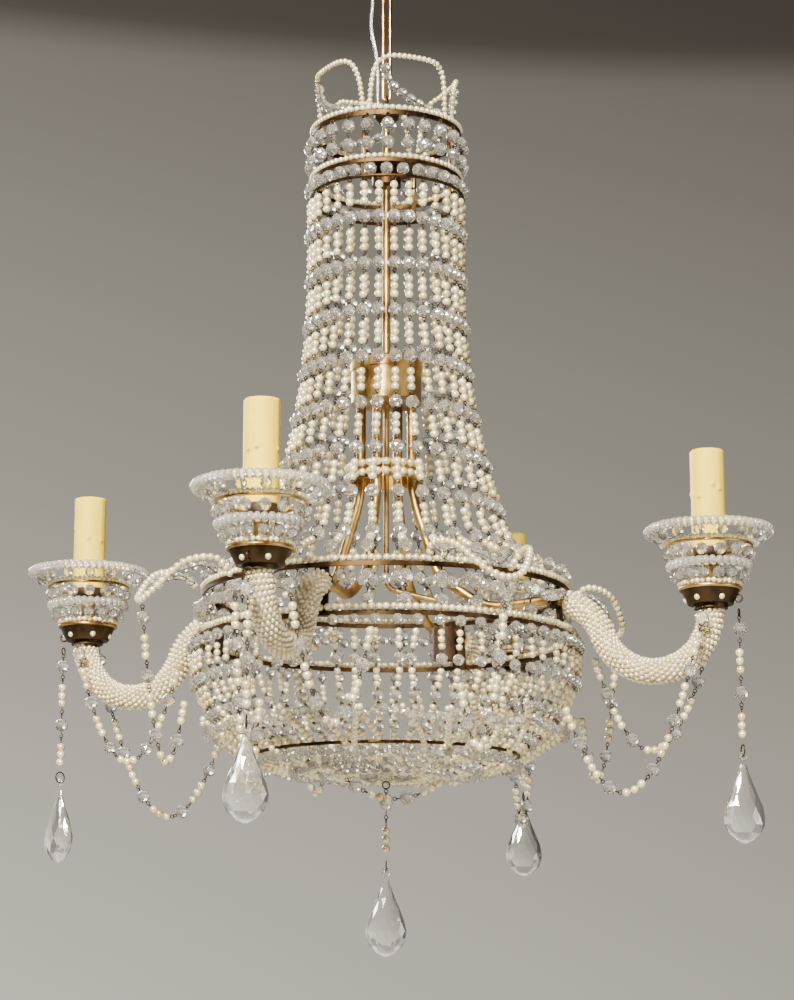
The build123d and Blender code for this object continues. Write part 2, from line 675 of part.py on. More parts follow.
with BuildPart() as cup_pearls:
    rows = bead_row(22, 21.2, PAN_RIM_Z + PEARL_R + 0.05, PEARL_R)
    rows += bead_row(30, *CAGE_RINGS[1], PEARL_R)
    add([at_candle(bead, azimuth) for bead in rows for azimuth in ARM_AZIMUTHS])
write(cup_pearls, "cup_pearls")

with BuildPart() as cup_crystals:
    rows = bead_row(16, *CAGE_RINGS[0], CRYSTAL_R)
    rows += bead_row(26, *CAGE_RINGS[2], CRYSTAL_R)
    add([at_candle(bead, azimuth) for bead in rows for azimuth in ARM_AZIMUTHS])
write(cup_crystals, "cup_crystals")

LAMPHOLDER_TOP_Z = SLEEVE_TOP_Z - 6.0
with BuildPart() as lampholder:
    with BuildSketch(Plane.XY.offset(LAMPHOLDER_BASE_Z)):
        Circle(11.5)
    extrude(amount=5.8)
    with BuildSketch(Plane.XY.offset(LAMPHOLDER_BASE_Z + 5.8)):
        Circle(SLEEVE_BORE_R - 0.5)
    extrude(amount=LAMPHOLDER_TOP_Z - LAMPHOLDER_BASE_Z - 5.8)
    with BuildSketch(Plane.XY.offset(LAMPHOLDER_TOP_Z - SOCKET_DEPTH)):
        Circle(SOCKET_R)
    extrude(amount=SOCKET_DEPTH, mode=Mode.SUBTRACT)
with BuildPart() as lampholders:
    add([at_candle(lampholder.part, azimuth) for azimuth in ARM_AZIMUTHS])
write(lampholders, "lampholders")

with BuildPart() as sleeve:
    with BuildSketch(Plane.XY.offset(SLEEVE_TOP_Z - SLEEVE_LENGTH)):
        Circle(SLEEVE_R)
        Circle(SLEEVE_BORE_R, mode=Mode.SUBTRACT)
    extrude(amount=SLEEVE_LENGTH)
for name, azimuth in zip(ARM_NAMES, ARM_AZIMUTHS):
    with BuildPart() as candle_sleeve:
        add(at_candle(sleeve.part, azimuth))
    write(candle_sleeve, f"candle_sleeve_{name}")

# ---- pendants: a strand on an eye, and a pear-shaped crystal drop on the strand's hook ----
HOOK_R, HOOK_WIRE_R = 4.0, 0.5
TOP_RING_R = 2.6
DROP_LENGTH, DROP_R, DROP_FLATNESS, DROP_HOLE_R = 53.0, 15.0, 0.5, 1.3


def pendant_strand(eye_wire, hook_wire_z, twist):
    """A strand on the Z axis, from the wire of its eye down to the wire of its twisted hook."""
    ring_z = eye_wire + EYE_WIRE_R + HOOK_WIRE_R + 0.15 - TOP_RING_R
    hook_z = hook_wire_z + HOOK_R
    top, bottom = ring_z - TOP_RING_R, hook_z + HOOK_R
    with BuildPart() as strand:
        add(wired_link((0, 0, top), (0, 0, bottom), bead_pattern(top - bottom)))
        with Locations(Location((0, 0, ring_z), (90, 0, 0))):
            Torus(TOP_RING_R, HOOK_WIRE_R)
        with Locations(Location((0, 0, hook_z), (0, 0, twist)) * Location((0, 0, 0), (0, 90, 0))):
            Torus(HOOK_R, HOOK_WIRE_R)
    return strand.part


def crystal_drop(hole_z):
    """A flattened pear on the Z axis, its hole along Y for the hook's wire."""
    bottom_z = hole_z + 2.2 - DROP_LENGTH
    neck_z = hole_z - 3
    with BuildPart() as drop:
        with BuildSketch(Plane.XZ):
            with BuildLine():
                side = Spline(
                    (0, bottom_z),
                    (DROP_R, bottom_z + DROP_R),
                    (2.2, neck_z),
                    tangents=((1, 0), (-0.1, 1)),
                )
                Polyline(side @ 1, (0, neck_z), (0, bottom_z))
            make_face()
        revolve(axis=Axis.Z)
        scale(by=(1, DROP_FLATNESS, 1))
        with BuildSketch(Plane.XZ):
            with Locations((0, hole_z - 1)):
                RectangleRounded(5.4, 6.4, 1.6)
        extrude(amount=1.6, both=True)
        with BuildSketch(Plane.XZ):
            with Locations((0, hole_z)):
                Circle(DROP_HOLE_R)
        extrude(amount=8, both=True, mode=Mode.SUBTRACT)
    return drop.part


PAN_EYE_WIRE_Z = EYE_Z - EYE_R
ARM_HOOK_Z = -652.0
PLATE_EYE_WIRE_Z = PLATE_Z - 2 * EYE_R
CENTRE_HOOK_Z = -725.0
DROP_AZIMUTHS = (0.0, 10.0, 5.0, -45.0)  # the way each arm's drop has turned to face
pendants = [
    (name, spot(azimuth, CANDLE_R + PENDANT_OFFSET, 0), azimuth, facing, PAN_EYE_WIRE_Z, ARM_HOOK_Z)
    for name, azimuth, facing in zip(ARM_NAMES, ARM_AZIMUTHS, DROP_AZIMUTHS)
]
pendants.append(("centre", Vector(0, 0, 0), 0.0, 0.0, PLATE_EYE_WIRE_Z, CENTRE_HOOK_Z))
for name, place, azimuth, facing, eye_wire, hook_z in pendants:
    with BuildPart() as strand:
        turned_strand = pendant_strand(eye_wire, hook_z, facing - azimuth)
        add(turned_strand.moved(Location(place, (0, 0, azimuth))))
    write(strand, f"pendant_strand_{name}")
    with BuildPart() as drop:
        add(crystal_drop(hook_z).moved(Location(place, (0, 0, facing))))
    write(drop, f"crystal_drop_{name}")

# ---- garlands: hanging chains of wired links ----
with BuildPart() as garlands:
    for azimuth in ARM_AZIMUTHS:
        for side, end_turn, end_z, sag in ((-1, 15, -606, 92), (1, 16, -560, 82)):
            hook = spot(azimuth + side * 4.3, CANDLE_R, PAN_FLOOR_Z - 5)
            end = spot(azimuth + side * end_turn, 150.5, end_z)
            add(hanging_chain(hook, end, sag))
    for azimuth in PETAL_AZIMUTHS:
        tip = spot(azimuth, 189, UPPER_ROW_Z - 25)
        add(hanging_chain(tip, spot(azimuth - 6, 150.5, -596), 75))
    add(hanging_chain(Vector(-28, -30, -653), Vector(42, -30, -652), 14))
write(garlands, "garlands")
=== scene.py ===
import json
from math import atan2, cos, degrees, pi, radians, sin

import bpy
import numpy as np
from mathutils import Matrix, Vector


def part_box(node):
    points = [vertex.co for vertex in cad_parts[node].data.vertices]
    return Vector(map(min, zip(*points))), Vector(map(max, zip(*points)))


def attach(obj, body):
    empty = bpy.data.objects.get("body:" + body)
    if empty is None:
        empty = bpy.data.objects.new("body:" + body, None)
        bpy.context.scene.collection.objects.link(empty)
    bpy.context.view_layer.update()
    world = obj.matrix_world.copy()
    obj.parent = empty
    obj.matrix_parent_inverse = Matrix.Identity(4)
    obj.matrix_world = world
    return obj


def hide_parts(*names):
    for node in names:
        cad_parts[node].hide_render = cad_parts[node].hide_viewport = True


# Beaded basket chandelier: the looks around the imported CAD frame. Metres, the CAD's own frame.
# Azimuths are degrees around Z, 0 at -Y (the front) and positive towards +X (the right).

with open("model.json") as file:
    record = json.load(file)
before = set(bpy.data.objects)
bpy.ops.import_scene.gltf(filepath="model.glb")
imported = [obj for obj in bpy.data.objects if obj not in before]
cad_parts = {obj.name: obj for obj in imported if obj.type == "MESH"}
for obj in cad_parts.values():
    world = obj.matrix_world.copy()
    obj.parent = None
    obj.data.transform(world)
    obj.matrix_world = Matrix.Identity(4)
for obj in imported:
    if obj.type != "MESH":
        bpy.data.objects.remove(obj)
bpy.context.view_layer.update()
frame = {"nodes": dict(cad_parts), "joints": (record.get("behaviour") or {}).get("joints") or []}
rng = np.random.default_rng(11)

PEARL_R, CRYSTAL_R, SEED_R = 0.003, 0.005, 0.0019
DRUM_PEARL_R, CROWN_PEARL_R = 0.0025, 0.0022
EYE_R, EYE_WIRE_R, PIN_R = 0.0013, 0.00036, 0.0004
CRYSTAL = 0  # in a strand's list of groups; any other number is that many pearls
ARM_NAMES = ("front", "right", "back", "left")
SWINGING = "chandelier"  # the CAD body of everything between the link and the pendants


# ---- camera ----
CAMERA_PLACE = (-0.0022, -1.8653, -0.8451)
CAMERA_PITCH, CAMERA_YAW = radians(12.16), -0.0054
camera = bpy.data.objects.new("camera", bpy.data.cameras.new("camera"))
bpy.context.scene.collection.objects.link(camera)
camera.location = CAMERA_PLACE
camera.rotation_euler = (pi / 2 + CAMERA_PITCH, 0, CAMERA_YAW)
camera.data.lens, camera.data.sensor_width = 92.95, 36
camera.data.clip_start, camera.data.clip_end = 0.05, 60
bpy.context.scene.camera = camera


# ---- materials ----
def add_ramp(nodes, links, value, stops):
    """Numbers or colours along a value: (place, colour or grey) pairs."""
    ramp = nodes.new("ShaderNodeValToRGB")
    elements = ramp.color_ramp.elements
    while len(elements) < len(stops):
        elements.new(0.5)
    for element, (place, colour) in zip(elements, stops):
        element.position = place
        grey = isinstance(colour, (int, float))
        element.color = (colour, colour, colour, 1) if grey else (*colour, 1)
    links.new(value, ramp.inputs["Fac"])
    return ramp.outputs["Color"]


class Shader:
    """A Principled material with a few helpers for its procedural nodes."""

    def __init__(self, name, **inputs):
        self.material = bpy.data.materials.new(name)
        self.material.use_nodes = True
        self.nodes = self.material.node_tree.nodes
        self.links = self.material.node_tree.links
        self.surface = self.nodes["Principled BSDF"]
        for socket, value in inputs.items():
            self.surface.inputs[socket.replace("_", " ")].default_value = value

    def node(self, kind, **settings):
        made = self.nodes.new("ShaderNode" + kind)
        for key, value in settings.items():
            if key in made.inputs:
                made.inputs[key].default_value = value
            else:
                setattr(made, key, value)
        return made

    def noise(self, scale, detail=3.0, stretch=(1, 1, 1)):
        """Noise in the piece's own coordinates: scale is its number of waves in a metre."""
        place = self.node("TexCoord")
        mapping = self.node("Mapping", Scale=stretch)
        texture = self.node("TexNoise", Scale=scale, Detail=detail)
        self.links.new(place.outputs["Object"], mapping.inputs["Vector"])
        self.links.new(mapping.outputs["Vector"], texture.inputs["Vector"])
        return texture.outputs["Fac"]

    def ramp(self, value, stops):
        return add_ramp(self.nodes, self.links, value, stops)

    def mix(self, factor, first, second):
        """The first colour where the factor is 0, the second, a fixed one, where it is 1."""
        mixer = self.node("Mix", data_type="RGBA")
        factor_socket, first_socket, second_socket = (mixer.inputs[number] for number in (0, 6, 7))
        self.links.new(factor, factor_socket)
        self.links.new(first, first_socket)
        second_socket.default_value = (*second, 1)
        return mixer.outputs[2]

    def drive(self, socket, value):
        self.links.new(value, self.surface.inputs[socket])

    def bump(self, height, strength, distance):
        made = self.node("Bump", Strength=strength, Distance=distance)
        self.links.new(height, made.inputs["Height"])
        self.links.new(made.outputs["Normal"], self.surface.inputs["Normal"])


def pearl_material(name, light, dark, roughness):
    """Lustrous coated bead: each bead has its own shade, and the coat is slightly uneven."""
    shader = Shader(
        name, Metallic=0.45, Coat_Weight=0.8, Coat_Roughness=0.10, Specular_IOR_Level=0.7,
    )
    own = shader.node("NewGeometry").outputs["Random Per Island"]
    shade = shader.ramp(own, [(0, dark), (0.45, light), (1, light)])
    shader.drive("Base Color", shade)
    mottle = shader.noise(900)
    shader.drive("Roughness", shader.ramp(mottle, [(0.3, roughness), (0.7, roughness + 0.15)]))
    shader.bump(mottle, 0.08, 0.0002)
    return shader.material


def brass_material(name, bright, dark, roughness):
    """Aged brass: brown patina in patches over a brushed yellow metal."""
    shader = Shader(name, Metallic=1.0)
    patches = shader.noise(45, 5)
    tarnish = shader.ramp(patches, [(0.36, dark), (0.56, bright), (1, bright)])
    shader.drive("Base Color", tarnish)
    brushed = shader.noise(260, 4, (1, 1, 0.12))
    shader.drive("Roughness", shader.ramp(brushed, [(0.3, roughness), (0.75, roughness + 0.2)]))
    shader.bump(brushed, 0.12, 0.0003)
    return shader.material


def crystal_material(name, tint, roughness, clearness):
    """Cut glass, a little cloudy, with faint waves in its faces; clearness 1 is quite clear."""
    shader = Shader(name, Transmission_Weight=clearness, IOR=1.5, Coat_Weight=0.5, Coat_Roughness=0.06)
    own = shader.node("NewGeometry").outputs["Random Per Island"]
    shader.drive("Base Color", shader.ramp(own, [(0, tint), (1, (0.97, 0.96, 0.94))]))
    waves = shader.noise(260, 2)
    shader.drive("Roughness", shader.ramp(waves, [(0.3, roughness), (0.8, roughness + 0.08)]))
    shader.bump(waves, 0.05, 0.0003)
    return shader.material


def candle_material():
    """Wax-like cream plastic, dark brown just below the drips' ends."""
    shader = Shader(
        "candle_cream", Subsurface_Weight=0.06, Subsurface_Scale=0.004, Specular_IOR_Level=0.2,
    )
    shader.surface.inputs["Subsurface Radius"].default_value = (1.0, 0.6, 0.25)
    cloud = shader.noise(60, 4)
    cream = shader.ramp(cloud, [(0.3, (0.90, 0.62, 0.03)), (0.7, (0.95, 0.72, 0.07))])
    drip_end_dark = shader.node("Attribute", attribute_name="drip_end_dark").outputs["Fac"]
    # Dark brown just below each drip's end.
    shader.drive("Base Color", shader.mix(drip_end_dark, cream, (0.24, 0.09, 0.02)))
    shader.drive("Roughness", shader.ramp(cloud, [(0.3, 0.42), (0.8, 0.58)]))
    shader.bump(shader.noise(420, 3), 0.15, 0.0004)
    return shader.material


def dull_material(name, light, dark, roughness):
    """Moulded plastic or painted metal, slightly mottled."""
    shader = Shader(name)
    grain = shader.noise(180, 4)
    shader.drive("Base Color", shader.ramp(grain, [(0.3, dark), (0.7, light)]))
    shader.drive("Roughness", shader.ramp(grain, [(0.3, roughness), (0.8, roughness + 0.2)]))
    shader.bump(grain, 0.1, 0.0003)
    return shader.material


PEARL = pearl_material("pearl_ivory", (0.90, 0.80, 0.50), (0.68, 0.56, 0.28), 0.24)
SEED = pearl_material("seed_ivory", (0.84, 0.74, 0.50), (0.66, 0.55, 0.32), 0.30)
BRASS = brass_material("brass_aged", (0.66, 0.44, 0.16), (0.20, 0.10, 0.03), 0.26)
# Brass darkened nearly to black as painted shade, for the insides of the rings and the crown frame that
# stand in shadow.
SHADED_BRASS = brass_material("brass_painted_shade", (0.09, 0.050, 0.020), (0.03, 0.017, 0.008), 0.36)
# Near-black bronze: on the drip pans it is painted shade for their undersides, which stand in shadow.
DARK_BRONZE_AND_SHADE = brass_material("bronze_dark_and_painted_shade", (0.08, 0.05, 0.025), (0.025, 0.016, 0.009), 0.38)
WIRE = brass_material("wire_dark", (0.07, 0.05, 0.03), (0.02, 0.014, 0.01), 0.35)
CUT_GLASS = crystal_material("cut_glass", (0.90, 0.88, 0.83), 0.05, 0.93)
ROPE_GLASS = crystal_material("rope_glass", (0.93, 0.89, 0.80), 0.10, 0.80)
DROP_GLASS = crystal_material("drop_glass", (0.95, 0.94, 0.92), 0.03, 0.92)
CANDLE = candle_material()
PHENOLIC = dull_material("phenolic_brown", (0.07, 0.035, 0.015), (0.03, 0.015, 0.007), 0.4)
STEEL = brass_material("steel_plated", (0.55, 0.55, 0.56), (0.30, 0.30, 0.31), 0.35)
CORD_PLASTIC = crystal_material("cord_clear", (0.90, 0.88, 0.82), 0.12, 0.9)


# ---- small shapes that are copied many times ----
class Template:
    """Corners and faces of a shape of radius 1, its string along Z."""

    def __init__(self, points, faces, smooth):
        self.points = np.array(points, float)
        self.faces = faces
        self.smooth = smooth


def lathe(profile, sides, smooth=True, twist=0.0):
    """Rings of sides corners at (radius, height) pairs; a twist shifts each ring by part of a side."""
    points, faces = [], []
    for row, (radius, height) in enumerate(profile):
        for side in range(sides):
            turn = 2 * pi * (side + twist * (row % 2)) / sides
            points.append((radius * cos(turn), radius * sin(turn), height))
    for row in range(len(profile) - 1):
        for side in range(sides):
            a, b = row * sides + side, row * sides + (side + 1) % sides
            c, d = b + sides, a + sides
            if not twist:
                faces.append((a, b, c, d))
            elif row % 2:
                faces += [(a, b, c), (a, c, d)]
            else:
                faces += [(a, b, d), (b, c, d)]
    faces.append(tuple(range(sides))[::-1])
    faces.append(tuple(range((len(profile) - 1) * sides, len(profile) * sides)))
    return Template(points, faces, smooth)


def round_profile(rows, hole=0.16):
    """A ball's outline, cut flat at its hole."""
    low = np.arcsin(hole)
    turns = np.linspace(low, pi - low, rows)
    return [(sin(turn), -cos(turn)) for turn in turns]


def ring_template(radius, wire, around=10, across=5):
    """A wire ring with the string's axis in its own plane."""
    points, faces = [], []
    for i in range(around):
        for j in range(across):
            turn, roll = 2 * pi * i / around, 2 * pi * j / across
            reach = radius + wire * cos(roll)
            points.append((wire * sin(roll), reach * cos(turn), reach * sin(turn)))
            a, b = i * across + j, i * across + (j + 1) % across
            c, d = (b + across) % (around * across), (a + across) % (around * across)
            faces.append((a, d, c, b))
    return Template(points, faces, True)


PEARL_SHAPE = lathe(round_profile(8), 12)
SEED_SHAPE = lathe([(r, 0.85 * h) for r, h in round_profile(6, 0.3)], 9)
CRYSTAL_SHAPE = lathe(
    [(0.28, -0.95), (0.66, -0.76), (0.93, -0.38), (1.0, 0.0), (0.93, 0.38), (0.66, 0.76), (0.28, 0.95)],
    11, smooth=False, twist=0.5,
)
DISC_SHAPE = lathe(
    [(0.35, -1.0), (0.85, -0.75), (1.0, -0.25), (1.0, 0.25), (0.85, 0.75), (0.35, 1.0)], 12,
)
EYE_SHAPE = ring_template(EYE_R, EYE_WIRE_R)
PIN_SHAPE = lathe([(1, -0.5), (1, 0.5)], 6)


def unit(vectors):
    vectors = np.asarray(vectors, float)
    return vectors / np.maximum(np.linalg.norm(vectors, axis=-1, keepdims=True), 1e-12)


def bases(axes, rolls):
    """Rotations that turn Z to each axis, rolled about it."""
    axes = unit(axes)
    helper = np.where(np.abs(axes[:, 2:3]) < 0.9, (0.0, 0.0, 1.0), (1.0, 0.0, 0.0))
    x = unit(np.cross(helper, axes))
    y = np.cross(axes, x)
    c, s = np.cos(rolls)[:, None], np.sin(rolls)[:, None]
    return np.stack([x * c + y * s, y * c - x * s, axes], axis=-1)


class Piece:
    """Gathers many small shapes into one mesh."""

    def __init__(self):
        self.points, self.faces, self.smooth, self.count = [], [], [], 0

    def add(self, points, faces, smooth):
        self.points.append(np.asarray(points, float).reshape(-1, 3))
        self.faces += [tuple(corner + self.count for corner in face) for face in faces]
        self.smooth += [smooth] * len(faces)
        self.count += len(self.points[-1])

    def put(self, template, places, axes, sizes=1.0, rolls=None):
        """A copy of the template at each place, its string along each axis."""
        places = np.asarray(places, float).reshape(-1, 3)
        number = len(places)
        if not number:
            return
        axes = np.broadcast_to(np.asarray(axes, float), (number, 3))
        rolls = rng.uniform(0, 2 * pi, number) if rolls is None else np.broadcast_to(rolls, number)
        sizes = np.asarray(sizes, float)
        sizes = np.broadcast_to(sizes if sizes.ndim == 2 else sizes.reshape(-1, 1), (number, 3))
        turned = bases(axes, rolls)
        points = np.einsum("nij,npj->npi", turned, template.points[None] * sizes[:, None])
        points += places[:, None]
        for copy in points:
            self.add(copy, template.faces, template.smooth)

    def tube(self, points, radius, sides=7, closed=False):
        """A round wire along points; radius may change along it."""
        points = np.asarray(points, float)
        number = len(points)
        radii = np.broadcast_to(radius, number)
        if closed:
            tangents = unit(np.roll(points, -1, 0) - np.roll(points, 1, 0))
        else:
            tangents = unit(np.gradient(points, axis=0))
        side = unit(np.cross(tangents[0], (0.3, 0.5, 0.81)))
        rings = []
        for point, tangent, reach in zip(points, tangents, radii):
            side = unit(side - tangent * np.dot(side, tangent))
            other = np.cross(tangent, side)
            turns = 2 * pi * np.arange(sides) / sides
            circle = np.outer(np.cos(turns), side) + np.outer(np.sin(turns), other)
            rings.append(point + reach * circle)
        faces = []
        for i in range(number if closed else number - 1):
            for j in range(sides):
                a, b = i * sides + j, i * sides + (j + 1) % sides
                c, d = (b + sides) % (number * sides), (a + sides) % (number * sides)
                faces.append((a, b, c, d))
        if not closed:
            faces.append(tuple(range(sides))[::-1])
            faces.append(tuple(range((number - 1) * sides, number * sides)))
        self.add(np.concatenate(rings), faces, True)

    def finish(self, name, material, slot, body=SWINGING, replaces=()):
        """Makes the mesh object, rides it on a body and hides the CAD nodes it stands for."""
        mesh = bpy.data.meshes.new(name)
        mesh.from_pydata(np.concatenate(self.points).tolist(), [], self.faces)
        mesh.polygons.foreach_set("use_smooth", self.smooth)
        mesh.materials.append(material)
        made = bpy.data.objects.new(name, mesh)
        bpy.context.scene.collection.objects.link(made)
        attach(made, body)
        if replaces:
            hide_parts(*replaces)
        return made


# ---- places ----
def spot(azimuth, radius, height):
    """A place, or an array of them, from the angle around Z, the reach and the height."""
    turn = np.radians(azimuth)
    return np.stack(np.broadcast_arrays(radius * np.sin(turn), -radius * np.cos(turn), height), -1)


def low(node):
    return np.array(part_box(node)[0])


def high(node):
    return np.array(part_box(node)[1])


def middle(node):
    return (low(node) + high(node)) / 2


def outer(node):
    """Half the width of a node that is round about the axis."""
    return (high(node)[0] - low(node)[0]) / 2


candles = {name: middle(f"candle_sleeve_{name}") for name in ARM_NAMES}
azimuths = {name: degrees(atan2(place[0], -place[1])) for name, place in candles.items()}
CANDLE_R = float(np.mean([np.hypot(place[0], place[1]) for place in candles.values()]))
ordered = sorted(azimuths.values())
arm_gaps = list(zip(ordered, [*ordered[1:], ordered[0] + 360]))
petal_azimuths = [(a + (b - a) / 2 + 180) % 360 - 180 for a, b in arm_gaps]

UPPER_Z = high("upper_ring")[2] + DRUM_PEARL_R
LOWER_Z = high("lower_ring")[2] + DRUM_PEARL_R
UPPER_R, LOWER_R = outer("upper_ring") - 0.001, outer("lower_ring") + 0.0005
CROWN_Z = high("crown_pearls")[2] - CROWN_PEARL_R
CROWN_MIDDLE_Z = low("crown_pearls")[2] + CROWN_PEARL_R
CROWN_R = outer("crown_pearls") - CROWN_PEARL_R
HOOP_WIRE_R = 0.0012
HOOP_Z = low("crown_frame")[2] + HOOP_WIRE_R
HOOP_R = outer("crown_frame") - HOOP_WIRE_R


class Path:
    """A smooth line through points, read by distance along it."""

    def __init__(self, points, steps=14, closed=False):
        points = np.asarray(points, float)
        if closed:
            padded = np.concatenate([points[-1:], points, points[:2]])
        else:
            ends = 2 * points[0] - points[1], 2 * points[-1] - points[-2]
            padded = np.concatenate([ends[0][None], points, ends[1][None]])
        t = np.linspace(0, 1, steps, endpoint=False)[:, None]
        line = []
        for p0, p1, p2, p3 in zip(padded, padded[1:], padded[2:], padded[3:]):
            line.append(
                0.5 * (2 * p1 + (p2 - p0) * t + (2 * p0 - 5 * p1 + 4 * p2 - p3) * t**2
                       + (3 * p1 - p0 - 3 * p2 + p3) * t**3)
            )
        self.line = np.concatenate([*line, padded[-2][None]])
        self.reach = np.concatenate([[0], np.cumsum(np.linalg.norm(np.diff(self.line, axis=0), axis=1))])
        self.length = self.reach[-1]

    def at(self, reaches):
        return np.stack([np.interp(reaches, self.reach, self.line[:, i]) for i in range(3)], -1)

    def along(self, reaches):
        """Directions of the line at distances along it."""
        step = 0.0008
        reaches = np.asarray(reaches)
        return unit(self.at(reaches + step) - self.at(reaches - step))


class Strands:
    """Wired strands gathered as up to three pieces: pearls, crystals, and wire with its eyes."""

    def __init__(self, scale=1.0):
        self.pearls, self.crystals, self.wire = Piece(), Piece(), Piece()
        self.pearl_r, self.crystal_r, self.scale = PEARL_R * scale, CRYSTAL_R * scale, scale

    def lay(self, path, groups):
        """Groups of beads evenly along a path, each on its own pin, with two eyes in each gap."""
        crystal_size, pearl_size = 2 * self.crystal_r, 2.02 * self.pearl_r
        sizes = [crystal_size if group == CRYSTAL else pearl_size * group for group in groups]
        gap = (path.length - sum(sizes)) / len(groups)
        reach = gap / 2
        gaps = [gap / 4]
        for group, size in zip(groups, sizes):
            if group == CRYSTAL:
                centre = reach + size / 2
                self.crystals.put(
                    CRYSTAL_SHAPE, path.at([centre]), path.along([centre]),
                    self.crystal_r * rng.uniform(0.96, 1.03),
                )
            else:
                centres = reach + self.pearl_r * 1.01 * (1 + 2 * np.arange(group))
                places = path.at(centres) + rng.normal(0, 0.00012, (group, 3))
                self.pearls.put(
                    PEARL_SHAPE, places, path.along(centres),
                    self.pearl_r * rng.uniform(0.96, 1.03, group),
                )
            reach += size
            gaps.append(reach + gap / 2)
            reach += gap
        gaps = np.array(gaps[:-1])
        eye_r = EYE_R * self.scale
        spread = max(gap / 2 - eye_r, eye_r * 0.8)
        for sign, roll in ((-1, 0.0), (1, pi / 2)):
            rolls = roll + rng.normal(0, 0.3, len(gaps))
            centres = gaps + sign * min(spread, eye_r * 0.85)
            self.wire.put(EYE_SHAPE, path.at(centres), path.along(centres), self.scale, rolls)
        stub = max(gap / 2 - 1.7 * eye_r, 0.0003)
        for sign in (-1, 1):
            centres = gaps + sign * (gap / 2 - stub / 2)
            sizes = np.tile((PIN_R, PIN_R, stub), (len(centres), 1))
            self.wire.put(PIN_SHAPE, path.at(centres), path.along(centres), sizes)

    def finish(self, name, body=SWINGING, replaces=()):
        if self.pearls.count:
            self.pearls.finish(f"{name}_pearls", PEARL, "pearl", body, replaces)
        if self.crystals.count:
            self.crystals.finish(f"{name}_crystals", CUT_GLASS, "crystal", body)
        if self.wire.count:
            self.wire.finish(f"{name}_wires", WIRE, "dark_bronze", body)


def bead_groups(length, first=CRYSTAL, period=0.037):
    """Crystals and threes of pearls in turn, as many as a length holds."""
    second = 3 if first == CRYSTAL else CRYSTAL
    return [first, second] * max(1, round(length / period))


def ring_of(piece, template, count, radius, height, size, start=0.0, wobble=0.0, centre=(0, 0)):
    """Beads strung in a level circle; wobble is how far they stray."""
    turns = start + 360 * np.arange(count) / count
    places = spot(turns, radius, height) + rng.normal(0, wobble, (count, 3)) + (centre[0], centre[1], 0)
    piece.put(template, places, spot(turns + 90, 1.0, 0.0), size * rng.uniform(0.97, 1.02, count))


def beads_along(piece, template, path, size, pitch):
    """Beads of a radius at an even pitch along a path."""
    reaches = np.arange(pitch / 2, path.length, pitch)
    sizes = size * rng.uniform(0.96, 1.03, len(reaches))
    piece.put(template, path.at(reaches), path.along(reaches), sizes)


# ---- supply cord ----
CORD_ROUTE = (
    (-0.0120, 0.0, -0.0150),
    (-0.0126, 0.0006, -0.0310),
    (-0.0104, 0.0016, -0.0490),
    (-0.0130, 0.0016, -0.0700),
    (-0.0080, 0.0008, -0.0920),
    (-0.0069, 0.0002, -0.1110),
    (-0.0073, 0.0, -0.1280),
    (-0.0063, 0.0, -0.1445),
)
CORD_DIAMETER, CORD_LENGTH = 0.0025, 0.1301
cord_curve = bpy.data.curves.new("supply_cord_line", "CURVE")
cord_curve.dimensions = "3D"
cord_curve.bevel_depth, cord_curve.bevel_resolution = CORD_DIAMETER / 2, 3
cord_curve.use_fill_caps = True
route = cord_curve.splines.new("NURBS")
route.points.add(len(CORD_ROUTE) - 1)
for point, place in zip(route.points, CORD_ROUTE):
    point.co = (*place, 1)
route.order_u = 3
route.use_endpoint_u = True
route.resolution_u = 8
cord_curve.materials.append(CORD_PLASTIC)
cord = bpy.data.objects.new("supply_cord_clear", cord_curve)
bpy.context.scene.collection.objects.link(cord)
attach(cord, "link")
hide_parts("supply_cord")


# ---- metal and plastic that stay as the CAD made them ----
def dress(material, *nodes):
    """Gives CAD nodes a material and leaves their shape alone."""
    for name in nodes:
        mesh = frame["nodes"][name].data
        mesh.materials.clear()
        mesh.materials.append(material)


dress(
    BRASS, "canopy", "canopy_loop", "hanging_link", "stem_rod", "hub_can", "hub_cap", "feed_tubes",
    "tube_collar", "lamp_rod", *(f"arm_tube_{name}" for name in ARM_NAMES),
)
# These parts take the near-black brass: painted shade for their shadowed insides.
dress(
    SHADED_BRASS, "top_spider", "crown_frame", "upper_ring", "lower_ring", "basket_plate",
    "basket_hoop",
)
# On the drip pans this near-black bronze is painted shade for their shadowed undersides.
dress(DARK_BRONZE_AND_SHADE, "stem_loop", "stem_cap", "ring_brackets", "drip_pans")
dress(PHENOLIC, "basket_lampholder", "lampholders")
dress(STEEL, "mounting_strap")


# ---- crown ----
ARCH_WIRE_R, THREAD_R = 0.0006, 0.0004  # the stiff wire of the shaped loops, and thin wire
POST_R, POST_REACH = 0.0017, 0.0500
CROWN_RIM_PEARLS, CROWN_UPRIGHTS, CROWN_MIDDLE_CRYSTALS = 78, 24, 30
ARCH_SHIFTS = {"left": 9}  # this arch stands a little nearer the front one
# (turn past the arm in degrees, radius, height over the top row of pearls)
ARCH_HALF = (
    (4, 0.0500, -0.002), (5.5, 0.0505, 0.010), (8, 0.0515, 0.027), (14, 0.0525, 0.0385),
    (27, 0.0530, 0.0420),
)
ARCH_OTHER_HALF = (
    (57, 0.0530, 0.0420), (70, 0.0525, 0.0385), (76.5, 0.0515, 0.027), (79.5, 0.0505, 0.010),
    (81, 0.0500, -0.002),
)
CREST_STRAND = ((18, 0.0520, 0.036), (22, 0.0505, 0.022), (40, 0.0490, 0.011), (68, 0.0505, 0.003))


def shaped(azimuth, height, outline):
    """A smooth line through (turn, radius, lift) points, from an azimuth and a height."""
    return Path([spot(azimuth + turn, radius, height + lift) for turn, radius, lift in outline])


